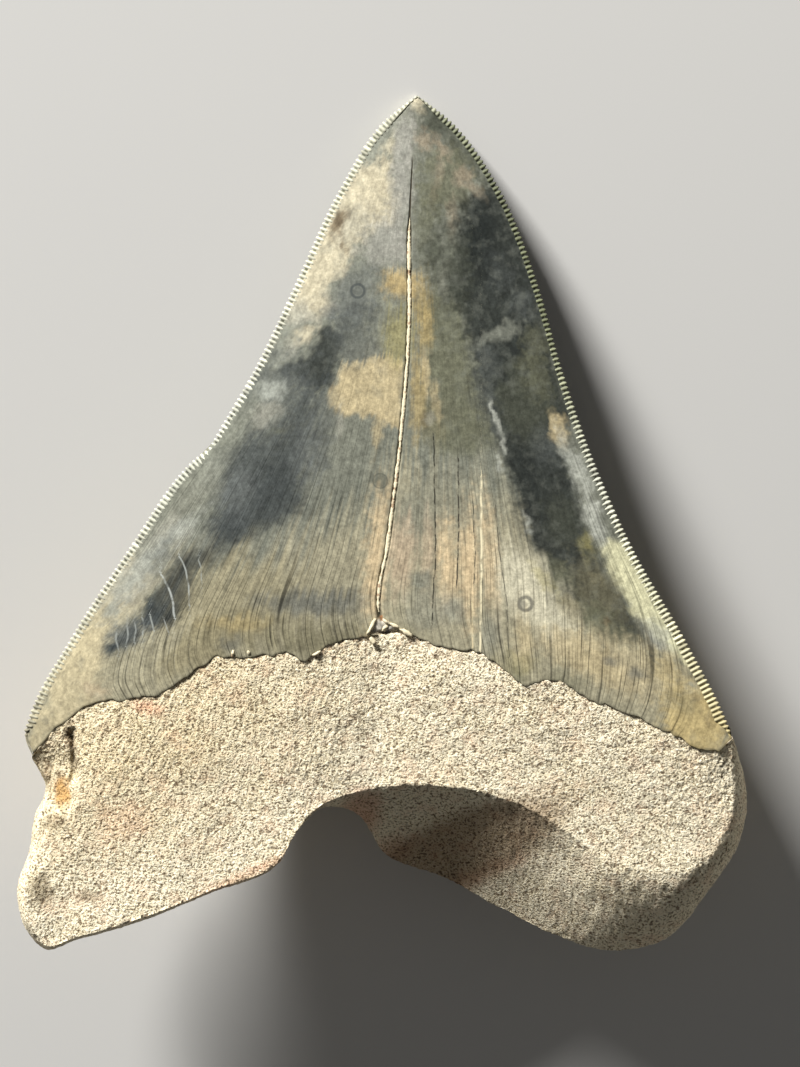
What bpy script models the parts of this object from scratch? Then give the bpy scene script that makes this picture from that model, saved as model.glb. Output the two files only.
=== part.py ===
"""A fossil megalodon tooth, lying on its tongue side with the lip face up.

The tooth grew as one piece, so it is one solid: an enamel crown with a row of fine serrations down
each cutting edge, and a root of two lobes with a notch between them. The left lobe is broken off
square and the right lobe is whole.

The tooth is drawn square on to its lip face, in millimetres: +X to the right, +Y from the root to
the tip, +Z out of the lip face. It is then turned down on to its tip and the swell of its root,
and scaled to metres, with the centre of its box on the Z axis and its lowest point at zero.
"""

import math

import bmesh
import bpy
import numpy as np
from mathutils import Vector, noise
from mathutils.geometry import delaunay_2d_cdt

MM = 0.001

# Cutting edges in plan, from the tip to the crown's corners. The left edge has a nick in it.
TIP = (5.4, 65.2)
LEFT_CORNER = (-53.1, -35.2)
RIGHT_CORNER = (53.3, -32.3)
LEFT_EDGE_ABOVE_NICK = (TIP, (0.5, 61.3), (-6.4, 50.7), (-12.8, 37.0), (-19.3, 23.4), (-25.3, 13.0))
LEFT_EDGE_BELOW_NICK = (
    (-25.9, 11.9), (-28.4, 9.8), (-38.4, -3.9), (-47.2, -17.5), (-53.3, -28.9), (-54.2, -32.3), LEFT_CORNER
)
LEFT_EDGE = LEFT_EDGE_ABOVE_NICK + LEFT_EDGE_BELOW_NICK
RIGHT_EDGE = (
    TIP, (10.4, 61.3), (18.0, 50.7), (23.5, 37.0), (27.4, 23.4), (32.1, 9.8),
    (38.2, -3.9), (46.0, -17.5), (51.9, -28.9), RIGHT_CORNER,
)
LEFT_SERRATIONS_ABOVE_NICK = 79
LEFT_SERRATIONS_BELOW_NICK = 73
RIGHT_SERRATIONS = 143
SERRATION_DEPTH = 0.35
EDGE_HALF_THICKNESS = 0.22
MARGIN_HALF_HEIGHT = 0.8

# The line down the middle of the lip face, along which the crown has split.
MIDLINE = (TIP, (4.3, 47.2), (4.1, 28.1), (2.8, 11.9), (1.0, -2.8), (-0.4, -13.4), (0.4, -16.9))
TONGUE_MIDLINE = (TIP, (4.3, 40.0), (2.8, 15.0), (0.6, -4.0))
SPLIT_WIDTH = 0.7
SPLIT_DEPTH = 0.3
SPLIT_TOP = 0.21
SPLIT_CLEARANCE = 0.875

# The edge of the enamel on the lip face: how far it strays towards the tip from a plain arch,
# at shares of the way from the left corner to the right one.
ENAMEL_STRAYS = (
    (0.00, 0.0), (0.04, 2.2), (0.08, 2.9), (0.12, 1.1), (0.18, -1.0), (0.22, -0.1), (0.26, 1.5),
    (0.31, -0.2), (0.36, -0.7), (0.385, -2.6), (0.42, -0.8), (0.47, 0.1), (0.54, 0.6), (0.57, -1.1),
    (0.64, -1.7), (0.66, -2.9), (0.70, -5.5), (0.75, -2.9), (0.80, -4.7), (0.85, -4.4), (0.95, -4.7),
    (0.98, -3.2), (1.00, 0.0),
)
STRAY_FADE = 8
ENAMEL_STEP = 0.6
ENAMEL_STEP_WIDTH = 0.5

# Chip at the foot of the split, as shares across and down the crown, and its floor's depth.
CHIP_CORNERS = ((0.500, 0.962), (0.478, 0.994), (0.543, 0.994))
CHIP_DEPTH = 1.3
CHIP_FLOOR_SHARE = 0.55
CHIP_REACH = 3.2

# Heights of the crown, and how full its arches are: 2 is a parabola and more is squarer.
LIP_SWELL = 2.8
LIP_ARCH = 2.4
LIP_HOLLOW = 0.9
LIP_HOLLOW_REACH = 0.25
TONGUE_SWELL = 15.5
TONGUE_SHARE_AT_TIP = 0.35
TONGUE_ARCH = 2.2
TONGUE_ARCH_POWER = 0.9
TIP_DROP = 3.0

# Root, from the left corner round both lobes to the right corner. Each row has the margin in plan,
# the brow where the lip face turns down to it, the brow's drop, the margin's depth, and the power
# of the turn between them: 1 is a quarter of an ellipse and 2 is a straight slope.
ROOT_MARGIN = (
    (-53.1, -35.2, -53.1, -35.2, 0.0, 0.0, 1.0),
    (-51.0, -40.2, -49.9, -39.8, 1.9, 7.0, 1.0),
    (-52.8, -44.5, -51.6, -44.3, 1.5, 9.0, 1.0),
    (-53.6, -49.6, -52.4, -49.7, 1.1, 9.5, 1.0),
    (-55.5, -55.2, -54.0, -55.3, 1.0, 9.5, 1.0),
    (-53.4, -62.7, -52.4, -61.8, 1.3, 9.0, 1.0),
    (-51.3, -64.5, -50.5, -63.0, 1.6, 8.5, 1.0),
    (-46.1, -63.0, -45.5, -61.6, 1.4, 8.5, 1.0),
    (-37.8, -60.7, -37.3, -59.4, 1.1, 9.0, 1.0),
    (-26.1, -56.1, -25.5, -54.8, 1.0, 10.0, 1.0),
    (-16.0, -51.6, -15.0, -50.3, 1.0, 10.5, 1.0),
    (-13.3, -47.0, -12.2, -46.0, 1.0, 10.5, 1.0),
    (-8.7, -43.0, -8.6, -41.7, 1.0, 10.5, 1.0),
    (-4.0, -43.9, -3.2, -40.3, 1.0, 11.0, 1.3),
    (0.5, -50.4, 3.3, -39.6, 1.1, 14.0, 1.9),
    (9.5, -53.9, 12.2, -40.0, 1.2, 15.0, 2.1),
    (17.7, -58.4, 20.6, -42.4, 1.4, 15.0, 2.1),
    (27.2, -63.0, 28.2, -46.6, 1.8, 14.5, 1.9),
    (35.5, -65.2, 34.2, -51.2, 2.6, 14.0, 1.6),
    (43.7, -63.0, 41.2, -52.4, 3.0, 13.0, 1.3),
    (49.8, -56.1, 47.6, -51.4, 2.6, 12.5, 1.0),
    (54.2, -49.3, 51.4, -47.4, 2.0, 12.0, 1.0),
    (55.7, -41.7, 53.0, -41.6, 1.6, 11.0, 1.0),
    (54.5, -35.9, 52.9, -36.4, 1.0, 7.0, 1.0),
    (53.3, -32.3, 53.3, -32.3, 0.0, 0.0, 1.0),
)

# Swell of the root on the tongue side: its lowest line in plan, and its depth.
ROOT_SWELL = (
    (-53.1, -35.2, 0.0),
    (-51.0, -38.7, 8.0),
    (-46.5, -44.5, 15.5),
    (-38.0, -47.5, 19.5),
    (-24.0, -42.0, 24.4),
    (-10.0, -36.4, 27.2),
    (0.5, -34.6, 27.4),
    (12.0, -36.4, 27.2),
    (26.0, -43.0, 24.6),
    (38.0, -49.5, 20.5),
    (47.5, -46.5, 16.0),
    (52.0, -38.5, 8.0),
    (53.3, -32.3, 0.0),
)
NECK_BAND_DROP = 0.5
NECK_BAND_PLACE = 0.13
NECK_BAND_SHARE = 0.1

# A ledge on the left lobe, left of which the lip face has broken away.
LEDGE_X = -46.4
LEDGE_ENDS = (-45.0, -30.5)
LEDGE_DROP = 1.4
LEDGE_RUN = 1.2
LEDGE_FADES = (4.0, 3.0)

# Lumps of the root's worn surface: their size across, and how far they stand out.
LUMP_SIZE = 5.5
LUMP_HEIGHT = 0.3
LUMP_SEED = Vector((3.1, 7.7, 1.3))

# Pose at rest: how far the crown is turned down, and how much of the swell is worn flat.
REST_TURN = math.radians(13.53)
WORN_FLAT = 0.5

# Mesh spacing.
CURVE_STEPS = 1500
ROW_SPACING = 2.3
COLUMN_SPACING = 2.9
EDGE_BAND = 1.4
WIDEST_EDGE_BAND_SHARE = 0.3
ROOT_COLUMNS = 72
FACE_ROWS = 8
BROW_ROWS = 5
SWELL_ROWS = 9
ROW_CLEARANCE = 0.45
OFTEN_KEPT_SHARE = 0.3
CORNER_COLUMNS = 6

PLAN_MERGE = 1e-6

SHARP_ANGLE = math.radians(40)

FOSSIL_COLOUR = (0.434, 0.391, 0.276, 1.0)
FOSSIL_ROUGHNESS = 0.6


def curve(points, shares):
    """Smooth curve through points, at shares of its chord length, with each tangent a mean of two chords."""
    points = np.asarray(points, dtype=float)
    steps = np.linalg.norm(np.diff(points[:, :2], axis=0), axis=1)
    knots = np.concatenate(([0.0], np.cumsum(steps)))
    slopes = np.diff(points, axis=0) / steps[:, None]
    lean = (steps[1:] / (steps[1:] + steps[:-1]))[:, None]
    tangents = np.vstack((slopes[:1], lean * slopes[:-1] + (1.0 - lean) * slopes[1:], slopes[-1:]))
    along = np.asarray(shares, dtype=float) * knots[-1]
    piece = np.clip(np.searchsorted(knots, along, side="right") - 1, 0, len(steps) - 1)
    span = steps[piece][:, None]
    t = (along - knots[piece])[:, None] / span
    start = points[piece] * (1.0 + 2.0 * t) * (1.0 - t) ** 2 + tangents[piece] * span * t * (1.0 - t) ** 2
    end = points[piece + 1] * t * t * (3.0 - 2.0 * t) - tangents[piece + 1] * span * t * t * (1.0 - t)
    return start + end


def along(points, shares):
    """Points of the smooth curve at shares of its true length, evenly, not of its chords."""
    fine = curve(points, np.linspace(0.0, 1.0, CURVE_STEPS))
    steps = np.linalg.norm(np.diff(fine[:, :2], axis=0), axis=1)
    travel = np.concatenate(([0.0], np.cumsum(steps)))
    places = np.asarray(shares, dtype=float) * travel[-1]
    return np.column_stack([np.interp(places, travel, column) for column in fine.T])


def serrated(points, count):
    """A cutting edge with count serrations: crests on the smooth curve and gaps a little inside it."""
    edge = along(points, np.linspace(0.0, 1.0, 2 * count + 1))
    run = np.gradient(edge, axis=0)
    run /= np.linalg.norm(run, axis=1)[:, None]
    depth = np.where(np.arange(len(edge)) % 2 == 1, SERRATION_DEPTH, 0.0)
    inward = np.column_stack((-run[:, 1], run[:, 0]))
    return edge + inward * depth[:, None]


def edge_height(down):
    """Height of the cutting edges: the tip is bent a little towards the tongue side."""
    return -TIP_DROP * (1.0 - down) ** 2


def crown_face(across, down, lip):
    """Points of a face of the crown, at shares across it from the left and down it from the tip.

    In plan each row is the parabola through the left edge, the midline and the right edge. In
    height each row is a low arch over the cutting edges on the lip side and a deep one below them
    on the tongue side, and both grow from the tip down.
    """
    left = along(LEFT_EDGE, down)
    middle = along(MIDLINE if lip else TONGUE_MIDLINE, down)
    right = along(RIGHT_EDGE, down)
    a = across[:, None]
    plan = left * (1 - a) * (1 - 2 * a) + middle * 4 * a * (1 - a) + right * a * (2 * a - 1)
    side = np.abs(2.0 * across - 1.0)
    if lip:
        swell = LIP_SWELL * np.sqrt(down) * (1.0 - side**LIP_ARCH)
        hollow = LIP_HOLLOW * down**4 * np.exp(-((side / LIP_HOLLOW_REACH) ** 2))
        height = edge_height(down) + swell - hollow
        shares, strays = np.transpose(ENAMEL_STRAYS)
        plan[:, 1] += np.interp(across, shares, strays) * down**STRAY_FADE
    else:
        growth = TONGUE_SHARE_AT_TIP + (1.0 - TONGUE_SHARE_AT_TIP) * down
        depth = TONGUE_SWELL * np.sqrt(down) * growth
        height = edge_height(down) - depth * (1.0 - side**TONGUE_ARCH) ** TONGUE_ARCH_POWER
    return np.column_stack((plan, height))


def crown_rows(lip):
    """The crown's inner points above its border, row by row, with columns a few millimetres apart."""
    rows = []
    ends = along(MIDLINE if lip else TONGUE_MIDLINE, [0.0, 1.0])
    count = int(np.linalg.norm(ends[1] - ends[0]) / ROW_SPACING)
    for down in np.linspace(0.0, 1.0, count + 1)[1:-1]:
        left, right = along(LEFT_EDGE, [down]), along(RIGHT_EDGE, [down])
        width = np.linalg.norm(right - left)
        inset = EDGE_BAND / width
        if inset > WIDEST_EDGE_BAND_SHARE:
            continue
        columns = np.linspace(inset, 1.0 - inset, max(3, 1 + int(width / COLUMN_SPACING)))
        split = lip and down > SPLIT_TOP
        if split:
            reach = 0.5 * SPLIT_WIDTH / width
            columns = columns[np.abs(columns - 0.5) > SPLIT_CLEARANCE / width]
            columns = np.sort(np.append(columns, (0.5 - reach, 0.5, 0.5 + reach)))
        row = crown_face(columns, np.full(len(columns), down), lip)
        if split:
            row[columns == 0.5, 2] -= SPLIT_DEPTH
        rows.append(row)
    return rows


def lumps(points, height):
    """Smooth random lumps for the root's worn surface, one number a point."""
    values = [noise.noise(Vector(point) / LUMP_SIZE + LUMP_SEED) for point in points]
    return height * np.array(values)


def smooth_step(share):
    """Rises from 0 to 1 with level ends."""
    share = np.clip(share, 0.0, 1.0)
    return share * share * (3.0 - 2.0 * share)


def broken_ledge(points):
    """How far the left lobe's lip face has dropped beyond its ledge, at points in plan."""
    beyond = smooth_step((LEDGE_X - points[:, 0]) / LEDGE_RUN)
    low, high = LEDGE_ENDS
    low_fade, high_fade = LEDGE_FADES
    window = smooth_step((points[:, 1] - low) / low_fade) * smooth_step((high - points[:, 1]) / high_fade)
    return LEDGE_DROP * beyond * window


def quarter_turns(start, foot, power):
    """Rows from each start point down to its foot, with the points that fit.

    The way in plan grows as a power of the sine of the turn and the height falls as the same power
    of its cosine, which is a quarter of an ellipse where the power is 1.
    """
    run = np.linalg.norm((foot - start)[:, :2], axis=1)
    for number in range(1, BROW_ROWS):
        turn = 0.5 * math.pi * number / BROW_ROWS
        out = math.sin(turn) ** power
        row = start + (foot - start) * out[:, None]
        row[:, 2] = foot[:, 2] + (start - foot)[:, 2] * math.cos(turn) ** power
        apart = run * (1.0 - out) if number % 2 else OFTEN_KEPT_SHARE * run
        yield row, apart > ROW_CLEARANCE


def root_rows(lip):
    """The root's inner rows from the crown's border out to the margin, each with the points it keeps.

    On the lip side the face runs level from the enamel to the brow, then turns down to the margin.
    On the tongue side it falls from the neck to the swell in a smooth S and comes back up to the
    margin along a quarter of an ellipse.
    """
    across = np.linspace(0.0, 1.0, ROOT_COLUMNS + 2)[1:-1]
    margin = along(ROOT_MARGIN, across)
    foot = np.column_stack((margin[:, 0:2], -margin[:, 5]))
    top = crown_face(across, np.ones_like(across), lip)
    everywhere = np.ones(len(across), dtype=bool)
    if lip:
        turn = np.column_stack((margin[:, 2:4], -margin[:, 4]))
        towards = (turn - top)[:, :2]
        run = np.linalg.norm(towards, axis=1)
        start = top.copy()
        start[:, :2] += towards * (ENAMEL_STEP_WIDTH / run)[:, None]
        start[:, 2] -= ENAMEL_STEP
        count = FACE_ROWS
        rows = [(top, run > 2.0 * ROW_CLEARANCE)]
    else:
        turn = along(ROOT_SWELL, across)
        turn[:, 2] *= -1.0
        run = np.linalg.norm((turn - top)[:, :2], axis=1)
        start = top
        count = SWELL_ROWS
        rows = []
    for number in range(count + 1):
        share = number / count
        row = start + (turn - start) * share
        row[:, 2] = start[:, 2] + (turn - start)[:, 2] * smooth_step(share)
        if not lip:
            row[:, 2] += NECK_BAND_DROP * math.exp(-(((share - NECK_BAND_PLACE) / NECK_BAND_SHARE) ** 2))
        apart = run / count > ROW_CLEARANCE * (1 + number % 2)
        keep = apart | (run > 2.0 * ROW_CLEARANCE) & (number == count)
        rows.append((row, keep))
    power = margin[:, 6] if lip else np.ones(len(across))
    rows.extend(quarter_turns(turn, foot, power))
    first = 1 if lip else 0
    for row, _ in rows[first:]:
        row[:, 2] += lumps(row, LUMP_HEIGHT)
        if lip:
            row[:, 2] -= broken_ledge(row)
    return rows


def tooth_outline():
    """The closed line round the tooth where its two faces meet, anticlockwise from the tip."""
    left = np.vstack((
        serrated(LEFT_EDGE_ABOVE_NICK, LEFT_SERRATIONS_ABOVE_NICK)[:-1],
        serrated(LEFT_EDGE_BELOW_NICK, LEFT_SERRATIONS_BELOW_NICK)[:-1],
    ))
    right = serrated(RIGHT_EDGE[::-1], RIGHT_SERRATIONS)[:-1]
    margin = along(ROOT_MARGIN, np.linspace(0.0, 1.0, ROOT_COLUMNS + 2))[:-1]
    left_height = edge_height(np.arange(len(left)) / len(left))
    right_height = edge_height(1.0 - np.arange(len(right)) / len(right))
    return np.vstack((
        np.column_stack((left, left_height)),
        np.column_stack((margin[:, :2], -margin[:, 5])),
        np.column_stack((right, right_height)),
    ))


def chip():
    """The rim and the sunken floor of the three-cornered chip at the foot of the split."""
    across, down = np.transpose(CHIP_CORNERS)
    rim = crown_face(across, down, True)
    floor = rim.mean(axis=0) + (rim - rim.mean(axis=0)) * CHIP_FLOOR_SHARE
    floor[:, 2] = rim[:, 2] - CHIP_DEPTH
    return rim, floor


def gap_to(outline, points):
    """Distance in plan from each point to the closed outline."""
    start = outline[:, :2]
    run = np.roll(start, -1, axis=0) - start
    offset = points[:, None, :2] - start
    share = np.clip((offset * run).sum(axis=2) / (run * run).sum(axis=1), 0.0, 1.0)
    return np.linalg.norm(offset - share[:, :, None] * run, axis=2).min(axis=1)


def face_points(outline, lip):
    """One face's inner points, with the pairs of them that its triangles may not cross.

    Near the left corner the root's rows run together, so the first few columns there are left free
    of lines, and the very first of points.
    """
    points = list(np.vstack(crown_rows(lip)))
    lines = []
    for row, keep in root_rows(lip):
        keep = keep & (gap_to(outline, row) > ROW_CLEARANCE)
        keep[:CORNER_COLUMNS // 2] = False
        halfway = gap_to(outline, 0.5 * (row + np.roll(row, 1, axis=0))) > 0.5 * ROW_CLEARANCE
        for number in np.flatnonzero(keep):
            points.append(row[number])
            if number > CORNER_COLUMNS and keep[number - 1] and halfway[number]:
                lines.append((len(points) - 2, len(points) - 1))
    points = np.array(points)
    if not lip:
        return points, lines
    rim, floor = chip()
    reach = np.linalg.norm(points[:, :2] - rim.mean(axis=0)[:2], axis=1)
    clear = reach > CHIP_REACH
    place = np.cumsum(clear) - 1
    lines = [(place[a], place[b]) for a, b in lines if clear[a] and clear[b]]
    count = int(clear.sum())
    lines += [(count, count + 1), (count + 1, count + 2), (count + 2, count)]
    return np.vstack((points[clear], rim, floor)), lines


def rim_lift(outline):
    """Half the height of the wall between the two faces, which is thin round the crown."""
    depth = -outline[:, 2]
    shares = smooth_step((depth - TIP_DROP) / TIP_DROP)
    lift = EDGE_HALF_THICKNESS + (MARGIN_HALF_HEIGHT - EDGE_HALF_THICKNESS) * shares
    return np.column_stack((np.zeros((len(outline), 2)), lift))


def face_triangles(outline, inner, lines):
    """Triangles over one face, whose corners are numbered through the outline and then the inner points."""
    plan = [Vector(point[:2]) for point in np.vstack((outline, inner))]
    border = list(range(len(outline)))
    edges = list(zip(border, border[1:] + border[:1]))
    edges += [(a + len(outline), b + len(outline)) for a, b in lines]
    _, _, faces, origins, _, _ = delaunay_2d_cdt(plan, edges, [], 1, PLAN_MERGE)
    return [[origins[corner][0] for corner in face] for face in faces]


def lay_down(points):
    """Turns the tooth down on to its tip and its swell, wears the swell flat and centres it at rest."""
    turned = points.copy()
    turned[:, 1] = points[:, 1] * math.cos(REST_TURN) + points[:, 2] * math.sin(REST_TURN)
    turned[:, 2] = points[:, 2] * math.cos(REST_TURN) - points[:, 1] * math.sin(REST_TURN)
    floor = turned[:, 2].min() + WORN_FLAT
    turned[:, 2] = np.maximum(turned[:, 2], floor)
    low, high = turned.min(axis=0), turned.max(axis=0)
    turned -= ((low[0] + high[0]) / 2, (low[1] + high[1]) / 2, low[2])
    return turned


def coat(name, colour, roughness):
    """A Principled material of one colour."""
    material = bpy.data.materials.new(name)
    material.use_nodes = True
    shader = material.node_tree.nodes["Principled BSDF"]
    shader.inputs["Base Color"].default_value = colour
    shader.inputs["Roughness"].default_value = roughness
    return material


def build_tooth(collection):
    """The whole tooth as one closed mesh: its lip face, its tongue face and the thin wall between them."""
    outline = tooth_outline()
    lift = rim_lift(outline)
    lip, lip_lines = face_points(outline, True)
    tongue, tongue_lines = face_points(outline, False)
    points = lay_down(np.vstack((outline + lift, lip, outline - lift, tongue))) * MM
    lip_faces = face_triangles(outline, lip, lip_lines)
    first = len(outline) + len(lip)
    tongue_faces = face_triangles(outline, tongue, tongue_lines)
    tongue_faces = [[corner + first for corner in reversed(face)] for face in tongue_faces]
    rim = range(len(outline))
    wall = [(i, i + first, (i + 1) % len(rim) + first, (i + 1) % len(rim)) for i in rim]
    mesh = bpy.data.meshes.new("tooth")
    mesh.from_pydata(points.tolist(), [], lip_faces + tongue_faces + wall)
    mesh.materials.append(coat("fossil", FOSSIL_COLOUR, FOSSIL_ROUGHNESS))
    body = bmesh.new()
    body.from_mesh(mesh)
    bmesh.ops.recalc_face_normals(body, faces=body.faces)
    body.to_mesh(mesh)
    body.free()
    mesh.shade_smooth()
    mesh.set_sharp_from_angle(angle=SHARP_ANGLE)
    tooth = bpy.data.objects.new("tooth", mesh)
    collection.objects.link(tooth)
    return tooth


for old in list(bpy.data.objects):
    bpy.data.objects.remove(old)
home = bpy.data.collections.new("megalodon tooth")
bpy.context.scene.collection.children.link(home)
build_tooth(home)
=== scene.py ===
# %% [markdown]
# # A fossil megalodon tooth
#
# The tooth lies on its tongue side with its lip face up, as such a fossil lies on a shelf. It grew as
# one piece, with a hard enamel crown and a bony root. This lesson draws it as surfaces: each one
# is a formula of two parameters, worked out for a whole grid at once. Every size is in millimetres, as
# a ruler held against the tooth would read it.

# %% Start from the measured frame
import math

import bpy
import numpy as np
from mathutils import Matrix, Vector


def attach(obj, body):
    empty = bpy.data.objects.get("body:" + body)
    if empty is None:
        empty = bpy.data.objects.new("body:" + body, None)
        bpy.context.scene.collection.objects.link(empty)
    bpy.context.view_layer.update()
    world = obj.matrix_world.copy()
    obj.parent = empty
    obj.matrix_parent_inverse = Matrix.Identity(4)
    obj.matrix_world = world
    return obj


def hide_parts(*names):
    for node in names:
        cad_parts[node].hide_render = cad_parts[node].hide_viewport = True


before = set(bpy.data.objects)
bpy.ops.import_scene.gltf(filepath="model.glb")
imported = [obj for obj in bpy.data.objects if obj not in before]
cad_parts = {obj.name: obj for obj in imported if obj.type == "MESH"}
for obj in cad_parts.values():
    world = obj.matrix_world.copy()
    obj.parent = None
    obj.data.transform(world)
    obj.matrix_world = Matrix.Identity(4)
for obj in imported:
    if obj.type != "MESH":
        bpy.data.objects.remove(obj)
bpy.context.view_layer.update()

MM = 0.001

# %% [markdown]
# ## The drawing and the table
#
# It is easiest to draw a tooth square on to its lip face, with the tip straight up. At rest it leans on
# two places, its tip and the swell at the back of its root, so the drawing is turned down by
# 13.5 degrees about the X axis. One function does that turn for every surface, and the worn flat under
# the swell is simply what would reach below the table.

# %% Place the drawing in the frame
REST_TURN = math.radians(13.53)
DRAWING_ORIGIN = np.array((-0.088, 2.055, 18.475))


def lay_down(points):
    """Drawing millimetres to frame metres: a turn about X, a shift, and nothing below the table."""
    cosine, sine = math.cos(REST_TURN), math.sin(REST_TURN)
    x, y, z = np.moveaxis(np.asarray(points, dtype=float), -1, 0)
    laid = np.stack((x, y * cosine + z * sine, z * cosine - y * sine), axis=-1) + DRAWING_ORIGIN
    laid[..., 2] = np.maximum(laid[..., 2], 0.0)
    return laid * MM


# %% [markdown]
# ## Smooth lines through a few measured points
#
# A tooth's edge is one long slow curve. A few measured points and a smooth curve through them hold it
# better than many points would. Each span is a cubic whose end slopes are weighted means of the two
# chords that meet there. A second function walks along the curve by its true length, which spaces the
# serrations evenly.

# %% Curves
CURVE_STEPS = 1500


def smooth_curve(points, shares):
    """Cubic spans through the points, at shares of the chord length; extra columns ride along."""
    points = np.asarray(points, dtype=float)
    steps = np.linalg.norm(np.diff(points[:, :2], axis=0), axis=1)
    knots = np.concatenate(([0.0], np.cumsum(steps)))
    slopes = np.diff(points, axis=0) / steps[:, None]
    lean = (steps[1:] / (steps[1:] + steps[:-1]))[:, None]
    tangents = np.vstack((slopes[:1], lean * slopes[:-1] + (1.0 - lean) * slopes[1:], slopes[-1:]))
    along_it = np.asarray(shares, dtype=float) * knots[-1]
    piece = np.clip(np.searchsorted(knots, along_it, side="right") - 1, 0, len(steps) - 1)
    span = steps[piece][:, None]
    t = (along_it - knots[piece])[:, None] / span
    start = points[piece] * (1.0 + 2.0 * t) * (1.0 - t) ** 2 + tangents[piece] * span * t * (1.0 - t) ** 2
    end = points[piece + 1] * t * t * (3.0 - 2.0 * t) - tangents[piece + 1] * span * t * t * (1.0 - t)
    return start + end


def length_of(points):
    """True length of the smooth curve through the points."""
    fine = smooth_curve(points, np.linspace(0.0, 1.0, CURVE_STEPS))[:, :2]
    return np.linalg.norm(np.diff(fine, axis=0), axis=1).sum()


def along(points, shares):
    """Points of the smooth curve at shares of its true length."""
    fine = smooth_curve(points, np.linspace(0.0, 1.0, CURVE_STEPS))
    steps = np.linalg.norm(np.diff(fine[:, :2], axis=0), axis=1)
    travel = np.concatenate(([0.0], np.cumsum(steps))) / steps.sum()
    places = np.asarray(shares, dtype=float)
    flat = [np.interp(places.ravel(), travel, column) for column in fine.T]
    return np.stack(flat, axis=-1).reshape(places.shape + (fine.shape[1],))


def smooth_step(share):
    """Rises from 0 to 1 with level ends."""
    share = np.clip(share, 0.0, 1.0)
    return share * share * (3.0 - 2.0 * share)


# %% [markdown]
# ## The crown's outline
#
# The two cutting edges run from the tip to the crown's corners. The left one has a small nick a third
# of the way down, where the edge was once damaged. The midline is where the crown has split.

# %% Measured lines of the crown
TIP = (5.4, 65.2)
LEFT_CORNER = (-53.1, -35.2)
RIGHT_CORNER = (53.3, -32.3)
LEFT_EDGE = (
    TIP, (0.5, 61.3), (-6.4, 50.7), (-12.8, 37.0), (-19.3, 23.4), (-25.3, 13.0), (-25.9, 11.9),
    (-28.4, 9.8), (-38.4, -3.9), (-47.2, -17.5), (-53.3, -28.9), (-54.2, -32.3), LEFT_CORNER,
)
UNHURT_LEFT_EDGE = LEFT_EDGE[:5] + LEFT_EDGE[8:]
RIGHT_EDGE = (
    TIP, (10.4, 61.3), (18.0, 50.7), (23.5, 37.0), (27.4, 23.4), (32.1, 9.8), (38.2, -3.9),
    (46.0, -17.5), (51.9, -28.9), RIGHT_CORNER,
)
LIP_MIDLINE = (TIP, (4.3, 47.2), (4.1, 28.1), (2.8, 11.9), (1.0, -2.8), (-0.4, -13.4), (0.4, -16.9))
TONGUE_MIDLINE = (TIP, (4.3, 40.0), (2.8, 15.0), (0.6, -4.0))
ENAMEL_STRAYS = (
    (0.00, 0.0), (0.04, 2.2), (0.08, 2.9), (0.12, 1.1), (0.18, -1.0), (0.22, -0.1), (0.26, 1.5),
    (0.31, -0.2), (0.36, -0.7), (0.385, -2.6), (0.42, -0.8), (0.47, 0.1), (0.54, 0.6), (0.57, -1.1),
    (0.64, -1.7), (0.66, -2.9), (0.70, -5.5), (0.75, -2.9), (0.80, -4.7), (0.85, -4.4), (0.95, -4.7),
    (0.98, -3.2), (1.00, 0.0),
)
print("cutting edges, mm:", round(length_of(LEFT_EDGE), 1), round(length_of(RIGHT_EDGE), 1))

# %% [markdown]
# ## The crown as a surface of two parameters
#
# `across` runs from the left cutting edge to the right one and `down` from the tip to the enamel's
# edge. Each row is the parabola through three lines, so the rows bow up in the middle as the enamel's
# edge does. Seen from the side, the lip face is a low arch and the tongue face a deep one. The nick in
# the left edge dies away within a few millimetres, so it leaves no fold across the face.

# %% Crown formula
LIP_SWELL = 2.8
LIP_HOLLOW = 0.9
TONGUE_SWELL = 15.5
TIP_DROP = 3.0
NICK_REACH = 2.5


def edge_height(down):
    """Height of the cutting edges: the tip bends a little towards the tongue side."""
    return -TIP_DROP * (1.0 - down) ** 2


def crown_face(across, down, lip):
    """Plan: the parabola through left edge, midline and right edge. Height: an arch over the edges."""
    across, down = np.broadcast_arrays(across, down)
    left = along(UNHURT_LEFT_EDGE, down)
    middle = along(LIP_MIDLINE if lip else TONGUE_MIDLINE, down)
    right = along(RIGHT_EDGE, down)
    a = across[..., None]
    from_edge = a * np.linalg.norm(right - left, axis=-1, keepdims=True)
    plan = left * (1 - a) * (1 - 2 * a) + middle * 4 * a * (1 - a) + right * a * (2 * a - 1)
    plan = plan + (along(LEFT_EDGE, down) - left) * np.exp(-from_edge / NICK_REACH)
    side = np.abs(2.0 * across - 1.0)
    if lip:
        height = LIP_SWELL * np.sqrt(down) * (1.0 - side**2.4)
        height = height - LIP_HOLLOW * down**4 * np.exp(-((side / 0.25) ** 2))
        shares, strays = np.transpose(ENAMEL_STRAYS)
        plan[..., 1] += np.interp(across, shares, strays) * down**8
    else:
        height = -TONGUE_SWELL * np.sqrt(down) * (0.35 + 0.65 * down) * (1.0 - side**2.2) ** 0.9
    return np.concatenate((plan, (edge_height(down) + height)[..., None]), axis=-1)

# %% [markdown]
# ## Random relief without a picture
#
# Worn bone and old mineral are lumpy at every scale. A cheap field for that is gradient noise: every
# corner of a lattice leans in a random direction, and the slopes are blended inside each cell. Whole
# arrays go through it at once, and a fixed seed makes it the same on every run.

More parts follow.
